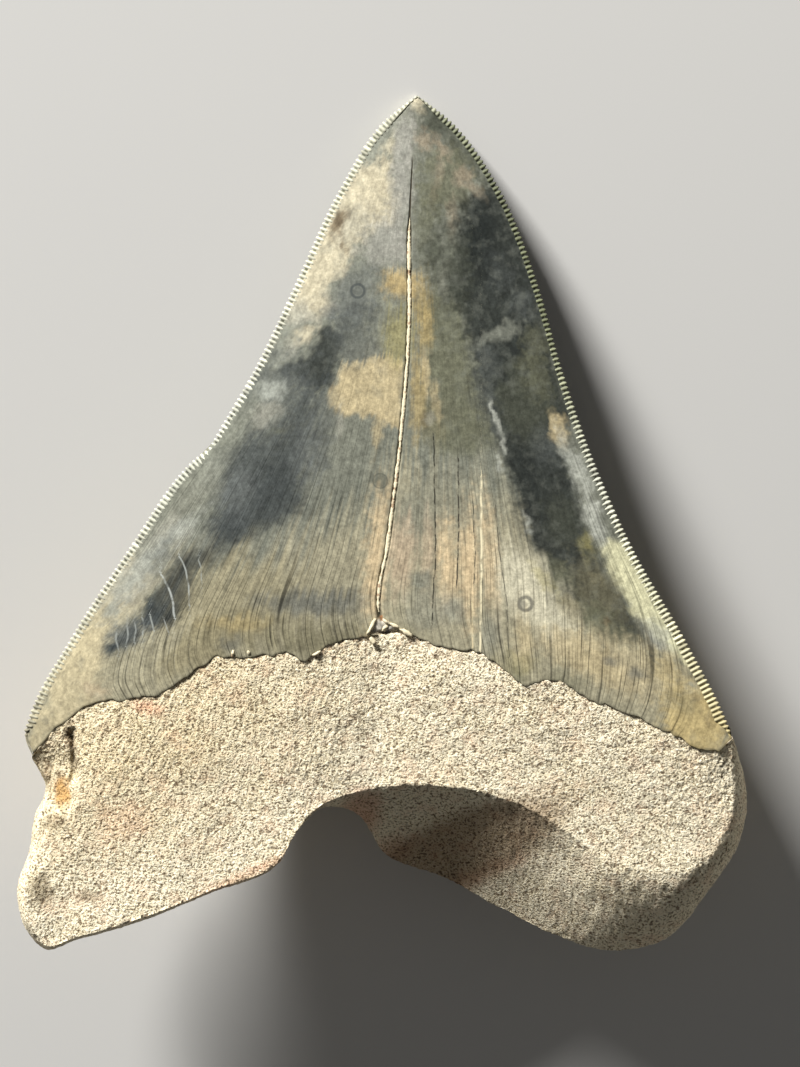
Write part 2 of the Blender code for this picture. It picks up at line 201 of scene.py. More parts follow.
# %% Gradient noise
LEANS = np.random.default_rng(11).normal(size=(4096, 3))
LEANS /= np.linalg.norm(LEANS, axis=1, keepdims=True)
LATTICE_PRIMES = np.array((73856093, 19349663, 83492791))
CELL_CORNERS = [(i, j, k) for i in (0, 1) for j in (0, 1) for k in (0, 1)]
LUMP_GAIN = 1.7


def lumps(points, size, shift=0.0):
    """Random field from about -1 to 1: each corner's slope times the way from it, blended."""
    place = np.asarray(points, dtype=float) / size + shift + 0.37
    cell = np.floor(place).astype(np.int64)
    offset = place - cell
    t = offset**3 * (offset * (offset * 6.0 - 15.0) + 10.0)
    total = 0.0
    for corner in CELL_CORNERS:
        key = np.bitwise_xor.reduce((cell + corner) * LATTICE_PRIMES, axis=-1)
        weight = np.prod(np.where(corner, t, 1.0 - t), axis=-1)
        total = total + weight * np.einsum("...i,...i", offset - corner, LEANS[key % len(LEANS)])
    return LUMP_GAIN * total


# %% [markdown]
# ## Colours as hex
#
# Colours are written as sRGB hex, as a colour chart gives them. The shader works with light itself, so
# one function takes each channel back to linear. Colours are then mixed as light, too.

# %% Colour helper
def linear(code):
    """Linear RGB of a #rrggbb colour: c/12.92 below 0.04045, else ((c + 0.055)/1.055)^2.4."""
    channels = np.array([int(code[place:place + 2], 16) for place in (1, 3, 5)]) / 255.0
    return np.where(channels <= 0.04045, channels / 12.92, ((channels + 0.055) / 1.055) ** 2.4)


def blend(under, over, share):
    """Mix of two colours: under + (over - under) * share."""
    return under + (over - under) * share[..., None]


# %% [markdown]
# ## From rings to a closed mesh
#
# Every piece of this tooth is a stack of closed rings, like the slices of a carrot: neighbouring rings
# are joined by quads and each end runs to one point. If the signed volume comes out negative the faces
# point inwards, and they are all turned over.

# %% Ring mesh
def set_values(mesh, label, values):
    """One number or vector per vertex; the two poles take the first and the last of them."""
    kind, field = ("FLOAT_VECTOR", "vector") if values.ndim == 3 else ("FLOAT", "value")
    flat = values.reshape(values.shape[0] * values.shape[1], -1)
    flat = np.vstack((flat, flat[:1], flat[-1:]))
    mesh.attributes.new(label, kind, "POINT").data.foreach_set(field, flat.ravel())


def ring_mesh(name, rings, values=None):
    """Closed mesh from rings of shape (rows, around, 3) in drawing millimetres, with point attributes."""
    rows, around, _ = rings.shape
    poles = np.stack((rings[0].mean(axis=0), rings[-1].mean(axis=0)))
    points = lay_down(np.vstack((rings.reshape(-1, 3), poles)))
    row = np.arange(rows - 1)[:, None] * around
    here, there = np.arange(around)[None, :], (np.arange(around)[None, :] + 1) % around
    quads = np.stack((row + here, row + there, row + around + there, row + around + here), axis=-1)
    quads = quads.reshape(-1, 4)
    top, bottom, end = rows * around, rows * around + 1, (rows - 1) * around
    near, far = here[0], there[0]
    fans = np.vstack((
        np.stack((far, near, np.full(around, top)), axis=-1),
        np.stack((end + near, end + far, np.full(around, bottom)), axis=-1),
    ))
    halves = np.vstack((quads[:, [0, 1, 2]], quads[:, [0, 2, 3]], fans))
    a, b, c = (points[halves[:, i]] for i in range(3))
    if np.einsum("ij,ij->", a, np.cross(b, c)) < 0.0:
        quads, fans = quads[:, ::-1], fans[:, ::-1]
    mesh = bpy.data.meshes.new(name)
    mesh.vertices.add(len(points))
    mesh.vertices.foreach_set("co", points.ravel())
    corners = np.concatenate((quads.ravel(), fans.ravel()))
    starts = np.concatenate((np.arange(len(quads)) * 4, len(quads) * 4 + np.arange(len(fans)) * 3))
    mesh.loops.add(len(corners))
    mesh.loops.foreach_set("vertex_index", corners)
    mesh.polygons.add(len(starts))
    mesh.polygons.foreach_set("loop_start", starts)
    mesh.update(calc_edges=True)
    mesh.validate()
    mesh.shade_smooth()
    for label, value in (values or {}).items():
        set_values(mesh, label, value)
    piece = bpy.data.objects.new(name, mesh)
    bpy.context.scene.collection.objects.link(piece)
    print(name, "triangles:", len(quads) * 2 + len(fans))
    return piece


# %% [markdown]
# ## How long the serrations are
#
# Each cutting edge is a saw of tiny ribs. They are between one and two millimetres long over most of the
# edge, longest low on the right one, and short at the tip and at the crown's worn corners. The enamel
# body has to stop under them, so their length is worked out first.

# %% Rib lengths
# share of the edge from the tip, length of the ribs in mm
RIB_LENGTHS = {
    "left": ((0.0, 1.35), (0.3, 1.6), (0.95, 1.65), (0.965, 0.6), (1.0, 0.4)),
    "right": ((0.0, 1.1), (0.40, 1.15), (0.50, 1.5), (0.62, 1.9), (0.97, 1.9), (0.985, 0.7), (1.0, 0.4)),
}
TAPER_WIDTH = 9.0
SLANT_PROBE = 0.004


def crown_width(down):
    """Straight distance between the cutting edges."""
    return np.linalg.norm(along(RIGHT_EDGE, down) - along(LEFT_EDGE, down), axis=-1)


def tip_taper(down):
    """1 where the crown is wide, falling to a quarter where it runs out to its tip."""
    return np.clip(crown_width(down) / TAPER_WIDTH, 0.25, 1.0)


def rib_length(side, down):
    """Length of the serrations on one edge: the table's value times the taper of the tip."""
    shares, lengths = np.transpose(RIB_LENGTHS[side])
    return np.interp(down, shares, lengths) * tip_taper(down)


def edge_slant(down, edge):
    """Sine of the angle between a cutting edge and the crown's rows."""
    ahead = along(edge, np.clip(down + SLANT_PROBE, 0, 1))
    behind = along(edge, np.clip(down - SLANT_PROBE, 0, 1))
    run = (ahead - behind) / np.linalg.norm(ahead - behind, axis=-1, keepdims=True)
    across = along(RIGHT_EDGE, down) - along(LEFT_EDGE, down)
    across = across / np.linalg.norm(across, axis=-1, keepdims=True)
    return np.abs(run[..., 0] * across[..., 1] - run[..., 1] * across[..., 0])


print("rib lengths halfway down, mm:", *(round(float(rib_length(side, 0.5)), 2) for side in RIB_LENGTHS))

# %% [markdown]
# ## The rows and columns of the enamel body
#
# The body of the crown is one stack of rings from the tip down: each ring crosses the lip face from
# left to right and comes back across the tongue face. It ends under the inner third of the ribs, which
# are carried along the edges as pieces of their own. Its columns crowd together at the split,
# where the groove is under a millimetre wide.

# %% Rows and columns
BODY_ROWS = 290
LIP_HALF_COLUMNS = 118
TONGUE_COLUMNS = 60
COVERED_SHARE = 0.68
MOST_COVERED = 0.25
FIRST_ROW = 0.006
EVEN_SHARE = 0.13
TONGUE_END_ANGLE = 0.08

step = np.linspace(0.0, 1.0, LIP_HALF_COLUMNS)
half = 0.5 * (EVEN_SHARE * step + (1.0 - EVEN_SHARE) * step**1.5)
lip_columns = np.concatenate((0.5 - half[::-1], 0.5 + half[1:]))
angles = np.linspace(TONGUE_END_ANGLE, math.pi - TONGUE_END_ANGLE, TONGUE_COLUMNS)
tongue_columns = 0.5 - 0.5 * np.cos(angles)
rows_down = np.linspace(FIRST_ROW, 1.0, BODY_ROWS)[:, None]
width = crown_width(rows_down)
inset_left, inset_right = (
    COVERED_SHARE * rib_length(side, rows_down) / (width * edge_slant(rows_down, edge))
    for side, edge in (("left", LEFT_EDGE), ("right", RIGHT_EDGE))
)
inset_left, inset_right = np.minimum(inset_left, MOST_COVERED), np.minimum(inset_right, MOST_COVERED)
lip_across = np.where(
    lip_columns < 0.5,
    inset_left + (0.5 - inset_left) * 2.0 * lip_columns,
    0.5 + (0.5 - inset_right) * (2.0 * lip_columns - 1.0),
)
tongue_across = 1.0 - inset_right - (1.0 - inset_left - inset_right) * tongue_columns
lip = crown_face(lip_across, rows_down, True)
tongue = crown_face(tongue_across, rows_down, False)
print("grid of the lip face:", lip.shape[:2], "of the tongue face:", tongue.shape[:2])

# %% [markdown]
# ## The split, the chip and the foot
#
# The crown has split down its middle, and a chip came off where the split meets the root. Both are
# heights taken off the lip face: a smooth step of the distance from the midline, and of the distance
# inside a triangle, each made ragged by a little noise. The enamel's foot is ragged too, and very
# shallow folds run down to it.

# %% Split, chip and foot
SPLIT_TOP_Y = 56.3
FILLING_TOP_Y = 47.4
SPLIT_HALF_WIDTH = 0.42
SPLIT_DEPTH = 0.35
CHIP = ((-0.3, -13.6), (-2.6, -16.6), (4.7, -17.2))
CHIP_RIM = 0.5
CHIP_DEPTH = 0.14
CHIP_ROUGHNESS = 0.16
CHIP_HOLLOW_DEPTH = 0.9
CHIP_HOLLOW_X, CHIP_HOLLOW_HALF_WIDTH, CHIP_HOLLOW_TOP = 1.1, 2.2, -15.8
FOLD_HEIGHT = 0.05


def chip_share(points):
    """0 outside the chip at the foot of the split, rising to 1 half a millimetre inside its rim."""
    inside = np.full(points.shape[:-1], 9.0)
    ragged = points[..., :2] + 0.25 * lumps(points, 0.7, 3.3)[..., None]
    for (x0, y0), (x1, y1) in zip(CHIP, CHIP[1:] + CHIP[:1]):
        run = np.array((x1 - x0, y1 - y0)) / math.hypot(x1 - x0, y1 - y0)
        offset = ragged - (x0, y0)
        inside = np.minimum(inside, run[0] * offset[..., 1] - run[1] * offset[..., 0])
    return smooth_step(inside / CHIP_RIM)


foot_line = lip[-1] * (1, 0, 0)
foot_rag = 0.35 * lumps(foot_line, 1.6, 2.3) + 0.3 * lumps(foot_line, 0.8, 5.3)
lip[..., 1] += foot_rag * smooth_step(np.abs(lip_columns - 0.5) / 0.05) * rows_down**60

from_split = np.abs(lip_across - 0.5) * width
from_split = from_split + 0.10 * lumps(lip * (1, 1, 0), 0.9, 5.1)
open_split = smooth_step((SPLIT_TOP_Y - lip[..., 1]) / 2.0)
wide_split = 0.35 + 0.65 * smooth_step((FILLING_TOP_Y - lip[..., 1]) / 3.0)
split = open_split * smooth_step(1.25 - from_split / (SPLIT_HALF_WIDTH * wide_split))
chip = chip_share(lip)
lip[..., 2] -= SPLIT_DEPTH * split * wide_split * (1.0 - chip)

chip_hollow = smooth_step((CHIP_HOLLOW_TOP - lip[..., 1]) / 0.7)
chip_hollow = chip_hollow * np.exp(-(((lip[..., 0] - CHIP_HOLLOW_X) / CHIP_HOLLOW_HALF_WIDTH) ** 4))
lip[..., 2] -= chip * (CHIP_DEPTH + CHIP_HOLLOW_DEPTH * chip_hollow + CHIP_ROUGHNESS * lumps(lip, 0.8, 1.7))
folds = lumps(np.stack((lip_across * 90.0, rows_down * 9.0 + 0 * lip_across, 0 * lip_across), -1), 1.6)
lip[..., 2] += FOLD_HEIGHT * folds * rows_down**3
print("width of the split, mm:", 2.0 * SPLIT_HALF_WIDTH, "depth of the chip, mm:", CHIP_HOLLOW_DEPTH)

# %% [markdown]
# ## The body's foot, and the way its fibres run
#
# Under the enamel's foot the rings turn in and down, so the edge shows its own thickness over the root
# and the mesh can close out of sight. Every vertex also carries its place among the fibres: millimetres
# sideways and millimetres down from the tip. Streaks drawn on that place follow the tooth's growth.

# %% Closed enamel body
CROWN_WIDTH = 106.0
CROWN_HEIGHT = 82.0
LEAN_REACH = 8.0
RIGHT_LEAN = 10.0
LEFT_LEAN = 1.8
# for each ring under the foot: its shift towards the tip and its drop, mm
SKIRT = ((-0.06, 0.05), (-0.08, 0.15), (-0.02, 0.5), (0.9, 1.5))

faces = np.concatenate((lip, tongue), axis=1)
sign = np.concatenate((np.full(lip.shape[1], 1.0), np.full(tongue.shape[1], -1.0)))
foot = np.ones((1, 1))
thick_lip = lip[-1, :, 2] - crown_face(lip_across[-1:], foot, False)[0, :, 2]
thick_tongue = crown_face(tongue_across[-1:], foot, True)[0, :, 2] - tongue[-1, :, 2]
room = 0.4 * np.concatenate((thick_lip, thick_tongue))
skirt = [
    faces[-1] + np.stack((0 * sign, np.full_like(sign, shift), -np.minimum(drop, room) * sign), axis=-1)
    for shift, drop in SKIRT
]
body_rings = np.concatenate((faces, np.array(skirt)), axis=0)


def lanes(across, down):
    """Sideways place of the fibres, mm: the columns of the grid, leaning inwards near the foot."""
    above_foot = 1.0 - np.exp(-(1.0 - down) * CROWN_HEIGHT / LEAN_REACH)
    right_lean = RIGHT_LEAN * smooth_step((across - 0.60) / 0.40)
    left_lean = LEFT_LEAN * smooth_step((0.34 - across) / 0.30)
    return (across - 0.5) * CROWN_WIDTH - above_foot * (right_lean - left_lean)


def down_the_skirt(values):
    """Values of the body's rows, the last row repeated for the rings under the foot."""
    return np.concatenate((values, np.repeat(values[-1:], len(SKIRT), axis=0)), axis=0)


def over_the_body(lip_values, tongue_value):
    """Values of the lip face, with one value for the whole tongue face, carried down the skirt."""
    rest = np.full((lip_values.shape[0], tongue.shape[1], *lip_values.shape[2:]), tongue_value)
    return down_the_skirt(np.concatenate((lip_values, rest), axis=1))


across_all = down_the_skirt(np.concatenate((lip_across, tongue_across), axis=1))
down_all = down_the_skirt(rows_down) + 0 * across_all
fibre_places = (lanes(across_all, down_all), down_all * CROWN_HEIGHT, 0 * across_all)
enamel_body = ring_mesh("enamel_crown", body_rings, {
    "fibre": np.stack(fibre_places, axis=-1), "split": over_the_body(split * (1.0 - chip), 0.0),
    "drawing": body_rings,
})

# %% [markdown]
# ## The serrations
#
# A megalodon tooth has about thirteen tiny rounded ribs to the centimetre, which run square to the
# cutting edge for one to two millimetres on both faces. They are one profile carried along the edge:
# the profile follows the crown's own faces, rises over each rib and sinks below the enamel between two
# ribs and at their inner ends. So only the ribs show, and they grow out of the body without a seam.
# Each rib gets its own length, height, width and shade from a seeded random draw.

# %% Sizes and shades of the ribs
LEFT_RIBS = 152
RIGHT_RIBS = 143
STEPS_PER_RIB = 6
PROFILE_STEPS = 6
RIB_HEIGHT = 0.16
RIB_GAP_DEPTH = 0.42
GAP_SINK = 0.12
INNER_SINK = 0.35
EDGE_HALF_THICKNESS = 0.2
EDGE_ROUNDING = 0.10
WORN_HEIGHT = 0.2
# share of the edge from the tip, colour of the crests, colour of the gaps (dirt and painted shade)
LEFT_RIB_TONES = (
    (0.00, "#b8b5a0", "#8b8976"), (0.06, "#bcbaa5", "#6a6b5b"), (0.25, "#c8c5b0", "#66664f"),
    (0.42, "#c6c5b3", "#42433a"), (0.60, "#c4c4b2", "#4a4b40"), (0.75, "#c6c3ae", "#5a594a"),
    (0.90, "#b3af98", "#77725f"), (0.97, "#a09a84", "#8d8671"), (1.00, "#9c9780", "#9c9780"),
)
RIGHT_RIB_TONES = (
    (0.00, "#a8a692", "#84836f"), (0.05, "#74765f", "#55574a"), (0.20, "#666951", "#43453a"),
    (0.38, "#6c6f55", "#3f4135"), (0.47, "#96977c", "#4c4d3e"), (0.60, "#bcbbaa", "#5a5a4d"),
    (0.75, "#c6c4aa", "#8a886c"), (0.90, "#c2ba97", "#8f8665"), (1.00, "#a5986f", "#9a8c62"),
)


def tone_along(tones, column, down):
    """Linear colour at each share of the edge, between the two nearest rows of a table."""
    shares = [row[0] for row in tones]
    channels = np.transpose([linear(row[column]) for row in tones])
    return np.stack([np.interp(down[:, 0], shares, channel) for channel in channels], axis=-1)[:, None, :]


print("ribs per centimetre:", round(10.0 * LEFT_RIBS / length_of(LEFT_EDGE), 1))

# %% [markdown]
# ## A profile carried along each edge
#
# Along the edge a rib is a raised cosine, made flat-topped by an exponent below one. Across it, the
# height rises quickly from the edge, falls a little and dives at the inner end. Lip and tongue sides
# are the same profile on the two faces, joined round a blunt edge.

# %% Ribbed cutting edges
def ribbed_edge(name, edge, ribs, side, worn_from, across_end, turn, tones, seed):
    """Ring at each step = profile over the face: thickness + rib height * crest - sink in the gaps."""
    draw = np.random.default_rng(seed)
    phase = np.linspace(0.0, ribs, ribs * STEPS_PER_RIB + 1)
    number = np.minimum(phase.astype(int), ribs - 1)
    lengths = draw.normal(1.0, 0.12, ribs)[number][:, None]
    heights = np.clip(draw.normal(1.0, 0.18, ribs), 0.45, 1.3)[number][:, None]
    widths = np.clip(draw.normal(0.72, 0.14, ribs), 0.45, 1.0)[number]
    glows = np.clip(draw.normal(1.0, 0.14, ribs), 0.6, 1.25)[number][:, None, None]
    rib = ((0.5 - 0.5 * np.cos(2.0 * math.pi * phase)) ** widths)[:, None]
    down = (phase / ribs)[:, None]
    start = along(edge, down[:, 0])
    run = np.gradient(start, axis=0)
    run = run / np.linalg.norm(run, axis=1)[:, None]
    inward = turn * np.stack((-run[:, 1], run[:, 0]), axis=-1)[:, None, :]
    share = np.linspace(0.0, 1.0, PROFILE_STEPS)[None, :] ** 1.2
    taper = tip_taper(down)
    reach = rib_length(side, down) * (0.75 + 0.25 * lengths)
    worn = 1.0 - smooth_step((down - worn_from) / 0.015)
    rib = WORN_HEIGHT + (rib - WORN_HEIGHT) * worn
    crest = rib * smooth_step((1.0 - share) / 0.25)
    notch = RIB_GAP_DEPTH * taper * (1.0 - rib)
    distance = notch + (reach - notch) * share
    slant = crown_width(down) * edge_slant(down, edge)
    across = across_end + (1 - 2 * across_end) * np.minimum(distance / slant, 0.5)
    plan = start[:, None, :] + inward * distance[..., None]
    thick = EDGE_HALF_THICKNESS * np.exp(-distance / 0.8) * (0.7 + 0.3 * rib)
    swell = RIB_HEIGHT * heights * taper * crest
    lift = thick + swell * (0.4 + 0.6 * smooth_step(share / 0.4)) * (1.0 - 0.35 * share)
    sink = GAP_SINK * (1.0 - rib) * smooth_step(share / 0.25)
    sink = sink + INNER_SINK * smooth_step((share - 0.78) / 0.22)
    lip_side, tongue_side = (
        np.concatenate((plan, crown_face(across, down, lip_face)[..., 2:] + up * (lift - sink)[..., None]), -1)
        for lip_face, up in ((True, 1.0), (False, -1.0))
    )
    rounding = 0.5 * (lip_side[:, :1] + tongue_side[:, :1])
    rounding[..., :2] -= inward[:, :1] * EDGE_ROUNDING * taper[:, :, None]
    ring = np.concatenate((lip_side[:, ::-1], rounding, tongue_side), axis=1)
    crests = np.concatenate((crest[:, ::-1], rib, crest), axis=1)
    # crest colour on the ribs, gap colour between them: the gaps' dark is dirt and painted shade
    pale = smooth_step((crests - 0.15) / 0.5)
    colour = blend(tone_along(tones, 2, down), tone_along(tones, 1, down), pale) * glows
    return ring_mesh(name, ring, {"stain_and_shade": colour})


left_ribs = ribbed_edge(
    "left_serrations", LEFT_EDGE, LEFT_RIBS, "left", 0.962, 0.0, 1.0, LEFT_RIB_TONES, 21
)
right_ribs = ribbed_edge(
    "right_serrations", RIGHT_EDGE, RIGHT_RIBS, "right", 0.985, 1.0, -1.0, RIGHT_RIB_TONES, 22
)

# %% [markdown]
# ## The mineral in the split
#
# Ground water has filled most of the split with pale carbonate. It is a thin ragged bead: a half-round
# profile carried down the midline, whose width and height wander a little.

# %% Filling of the split
FILLING_HALF_WIDTH = 0.37
FILLING_HALF_HEIGHT = 0.33
FILLING_SINK = 0.30
FILLING_STEPS = 560
FILLING_AROUND = 14
FILLING_TOP, FILLING_FOOT = 0.222, 0.958

filling_down = np.linspace(FILLING_TOP, FILLING_FOOT, FILLING_STEPS)[:, None]
bed = crown_face(np.full_like(filling_down, 0.5), filling_down, True)
wander = lumps(bed * (0, 1, 0), 1.3, 2.2)
ragged = 0.8 + 0.35 * lumps(bed * (0, 1, 0), 0.7, 9.4) + 0.2 * lumps(bed * (0, 1, 0), 3.0, 4.4)
ends = smooth_step((filling_down - FILLING_TOP) / 0.06) * smooth_step((FILLING_FOOT - filling_down) / 0.01)
turn = np.linspace(0.0, 2.0 * math.pi, FILLING_AROUND, endpoint=False)[None, :]
bead = np.repeat(bed, FILLING_AROUND, axis=1)
bead[..., 0] += FILLING_HALF_WIDTH * (ragged * (0.25 + 0.75 * ends)) * np.cos(turn) + 0.06 * wander
bead[..., 2] += (FILLING_HALF_HEIGHT + 0.05 * wander) * np.sin(turn) * (0.4 + 0.6 * ends) - FILLING_SINK
bead = bead + 0.04 * lumps(bead, 0.25, 6.1)[..., None]
filling = ring_mesh("split_filling", bead)

# %% [markdown]
# ## Crumbs of calcite
#
# White crumbs of the same mineral cling to the chip at the foot of the split and to the enamel's edge.
# Each is a rough pebble: an ellipsoid bent by a little noise, sitting on the crown where it is found.

# %% Crumbs
# centre x and y, half width, half length, lean of the long axis in degrees
CRUMBS = (
    (-1.55, -15.5, 0.30, 1.35, 26), (-1.35, -17.7, 0.38, 0.80, -34), (0.75, -14.75, 0.26, 0.80, -58),
    (2.05, -15.35, 0.30, 0.80, -62), (3.75, -16.35, 0.34, 1.05, -58), (0.6, -15.6, 0.28, 0.7, 40),
    (-22.5, -19.5, 0.24, 0.55, 10), (-20.1, -19.4, 0.22, 0.32, 0), (-9.8, -19.5, 0.26, 0.70, 64),
)
CRUMB_HEIGHT = 0.26
CRUMB_LIFT = 0.05


def crumb(index, x, y, half_width, half_length, lean):
    """A pebble of calcite: an ellipsoid, bent by noise, whose middle lies on the lip face."""
    fall = np.linspace(0.0, math.pi, 14)[1:-1, None]
    turn = np.linspace(0.0, 2.0 * math.pi, 16, endpoint=False)[None, :]
    ball = np.stack((np.sin(fall) * np.cos(turn), np.cos(fall) + 0 * turn, np.sin(fall) * np.sin(turn)), -1)
    ball = ball * (half_width, half_length, CRUMB_HEIGHT)
    ball = ball * (1.0 + 0.45 * lumps(ball + (x, y, 0), 0.45, 2.8)[..., None])
    cosine, sine = math.cos(math.radians(lean)), math.sin(math.radians(lean))
    turned = (ball[..., 0] * cosine + ball[..., 1] * sine, ball[..., 1] * cosine - ball[..., 0] * sine)
    nearest = np.hypot(lip[..., 0] - x, lip[..., 1] - y).argmin()
    middle = (x, y, lip[..., 2].ravel()[nearest] + CRUMB_LIFT)
    return ring_mesh(f"crumb_{index}", np.stack((*turned, ball[..., 2]), axis=-1) + middle)


crumbs_of_calcite = [crumb(index, *row) for index, row in enumerate(CRUMBS)]

# %% [markdown]
# ## The root's outline
#
# The root is drawn as lines that all run from the left corner, round both lobes, to the right corner:
# the margin, the brow where the lip face starts to turn down to it, and the swell at the back. The left
# lobe is broken off square, so its brow lies close to its margin. The right lobe is whole and round.

# %% Measured lines of the root
# margin x and y, brow x and y, depth of the brow, depth of the margin, power of the quarter turn
ROOT_MARGIN = (
    (-53.1, -35.2, -53.1, -35.2, 0.0, 0.0, 1.0),
    (-51.0, -40.2, -49.9, -39.8, 1.0, 7.0, 1.0),
    (-52.8, -44.5, -51.6, -44.3, 1.1, 9.0, 1.0),
    (-53.6, -49.6, -52.4, -49.7, 1.1, 9.5, 1.0),
    (-55.5, -55.2, -54.0, -55.3, 1.0, 9.5, 1.0),
    (-53.4, -62.7, -52.4, -61.8, 1.3, 9.0, 1.0),
    (-51.3, -64.5, -50.9, -63.8, 1.6, 8.5, 1.0),
    (-46.1, -63.0, -45.8, -62.4, 1.4, 8.5, 1.0),
    (-37.8, -60.7, -37.6, -60.1, 1.1, 9.0, 1.0),
    (-26.1, -56.1, -25.8, -55.5, 1.0, 10.0, 1.0),
    (-16.0, -51.6, -15.5, -51.0, 0.7, 10.5, 1.0),
    (-13.3, -47.0, -12.8, -46.5, 0.4, 10.5, 1.0),
    (-8.7, -43.0, -8.7, -42.3, 0.5, 10.5, 1.0),
    (-4.0, -43.9, -3.2, -40.3, 1.0, 11.0, 1.3),
    (0.5, -50.4, 3.3, -39.6, 1.1, 14.0, 1.9),
    (9.5, -53.9, 12.2, -40.0, 1.2, 15.0, 2.1),
    (17.7, -58.4, 20.6, -42.4, 1.4, 15.0, 2.1),
    (27.2, -63.0, 28.2, -46.6, 1.8, 14.5, 1.9),
    (35.5, -65.2, 34.2, -51.2, 2.1, 14.0, 1.6),
    (43.7, -63.0, 41.2, -52.4, 2.4, 13.0, 1.3),
    (49.8, -56.1, 47.6, -51.4, 2.2, 12.5, 1.0),
    (54.2, -49.3, 51.4, -47.4, 2.0, 12.0, 1.0),
    (55.7, -41.7, 53.0, -41.6, 1.6, 11.0, 1.0),
    (54.5, -35.9, 52.9, -36.4, 1.0, 7.0, 1.0),
    (53.3, -32.3, 53.3, -32.3, 0.0, 0.0, 1.0),
)
# x, y and depth of the swell
ROOT_SWELL = (
    (-53.1, -35.2, 0.0), (-51.0, -38.7, 8.0), (-46.5, -44.5, 15.5), (-38.0, -47.5, 19.5),
    (-24.0, -42.0, 24.4), (-10.0, -36.4, 27.2), (0.5, -34.6, 27.4), (12.0, -36.4, 27.2),
    (26.0, -43.0, 24.6), (38.0, -49.5, 20.5), (47.5, -46.5, 16.0), (52.0, -38.5, 8.0),
    (53.3, -32.3, 0.0),
)
ENAMEL_STEP = 0.9
ROOT_STEP = 0.22
print("root margin, mm:", round(length_of(ROOT_MARGIN), 1))

# %% [markdown]
# ## The broken ledge
#
# A flake has come off the left lobe, and the face beyond it lies lower, with a narrow crease along the
# step. It is a height taken off the face: a smooth step of the distance past a ragged line, and a narrow
# bell for the crease.

# %% Broken ledge
LEDGE_X = -46.4
LEDGE_ENDS = (-45.0, -30.5)
LEDGE_DROP = 0.6
CREASE_DEPTH = 0.8
CREASE_HALF_WIDTH = 0.45


def broken_ledge(points):
    """How far the left lobe's lip face has dropped beyond its ledge."""
    past = LEDGE_X + 0.6 * lumps(points, 2.0, 8.8) - points[..., 0]
    crease = CREASE_DEPTH * np.exp(-(((past - 0.5) / CREASE_HALF_WIDTH) ** 2))
    low, high = LEDGE_ENDS
    ledge = smooth_step((points[..., 1] - low) / 4.0) * smooth_step((high - 2.0 - points[..., 1]) / 4.0)
    cleft = smooth_step((points[..., 1] - low - 5.0) / 2.0) * smooth_step((high - points[..., 1]) / 0.8)
    return LEDGE_DROP * smooth_step(past / 1.0) * ledge + crease * cleft


print("length of the ledge, mm:", LEDGE_ENDS[1] - LEDGE_ENDS[0])

# %% [markdown]
# ## The root as rings along its margin
#
# Each ring is a slice of the root at one place along the margin: nearly level across the lip face, down
# a quarter of an ellipse to the margin, back under along another quarter to the swell, and up the neck
# to the tongue side's enamel. The ring closes inside the crown, where nothing shows.

# %% Root grid
ROOT_COLUMNS = 600
FACE_ROWS = 66
BROW_ROWS = 30
UNDER_ROWS = 24
NECK_ROWS = 26
FACE_EVENNESS = 0.6
CHIP_MIDDLE, CHIP_REACH = 0.8, 3.2


def quarter_turn(upper, lower, turn, power):
    """From one line to another along a quarter of an ellipse, fuller where the power is above 1."""
    between = upper + (lower - upper) * np.sin(turn) ** power
    between[..., 2:] = lower[..., 2:] + (upper - lower)[..., 2:] * np.cos(turn) ** power
    return between


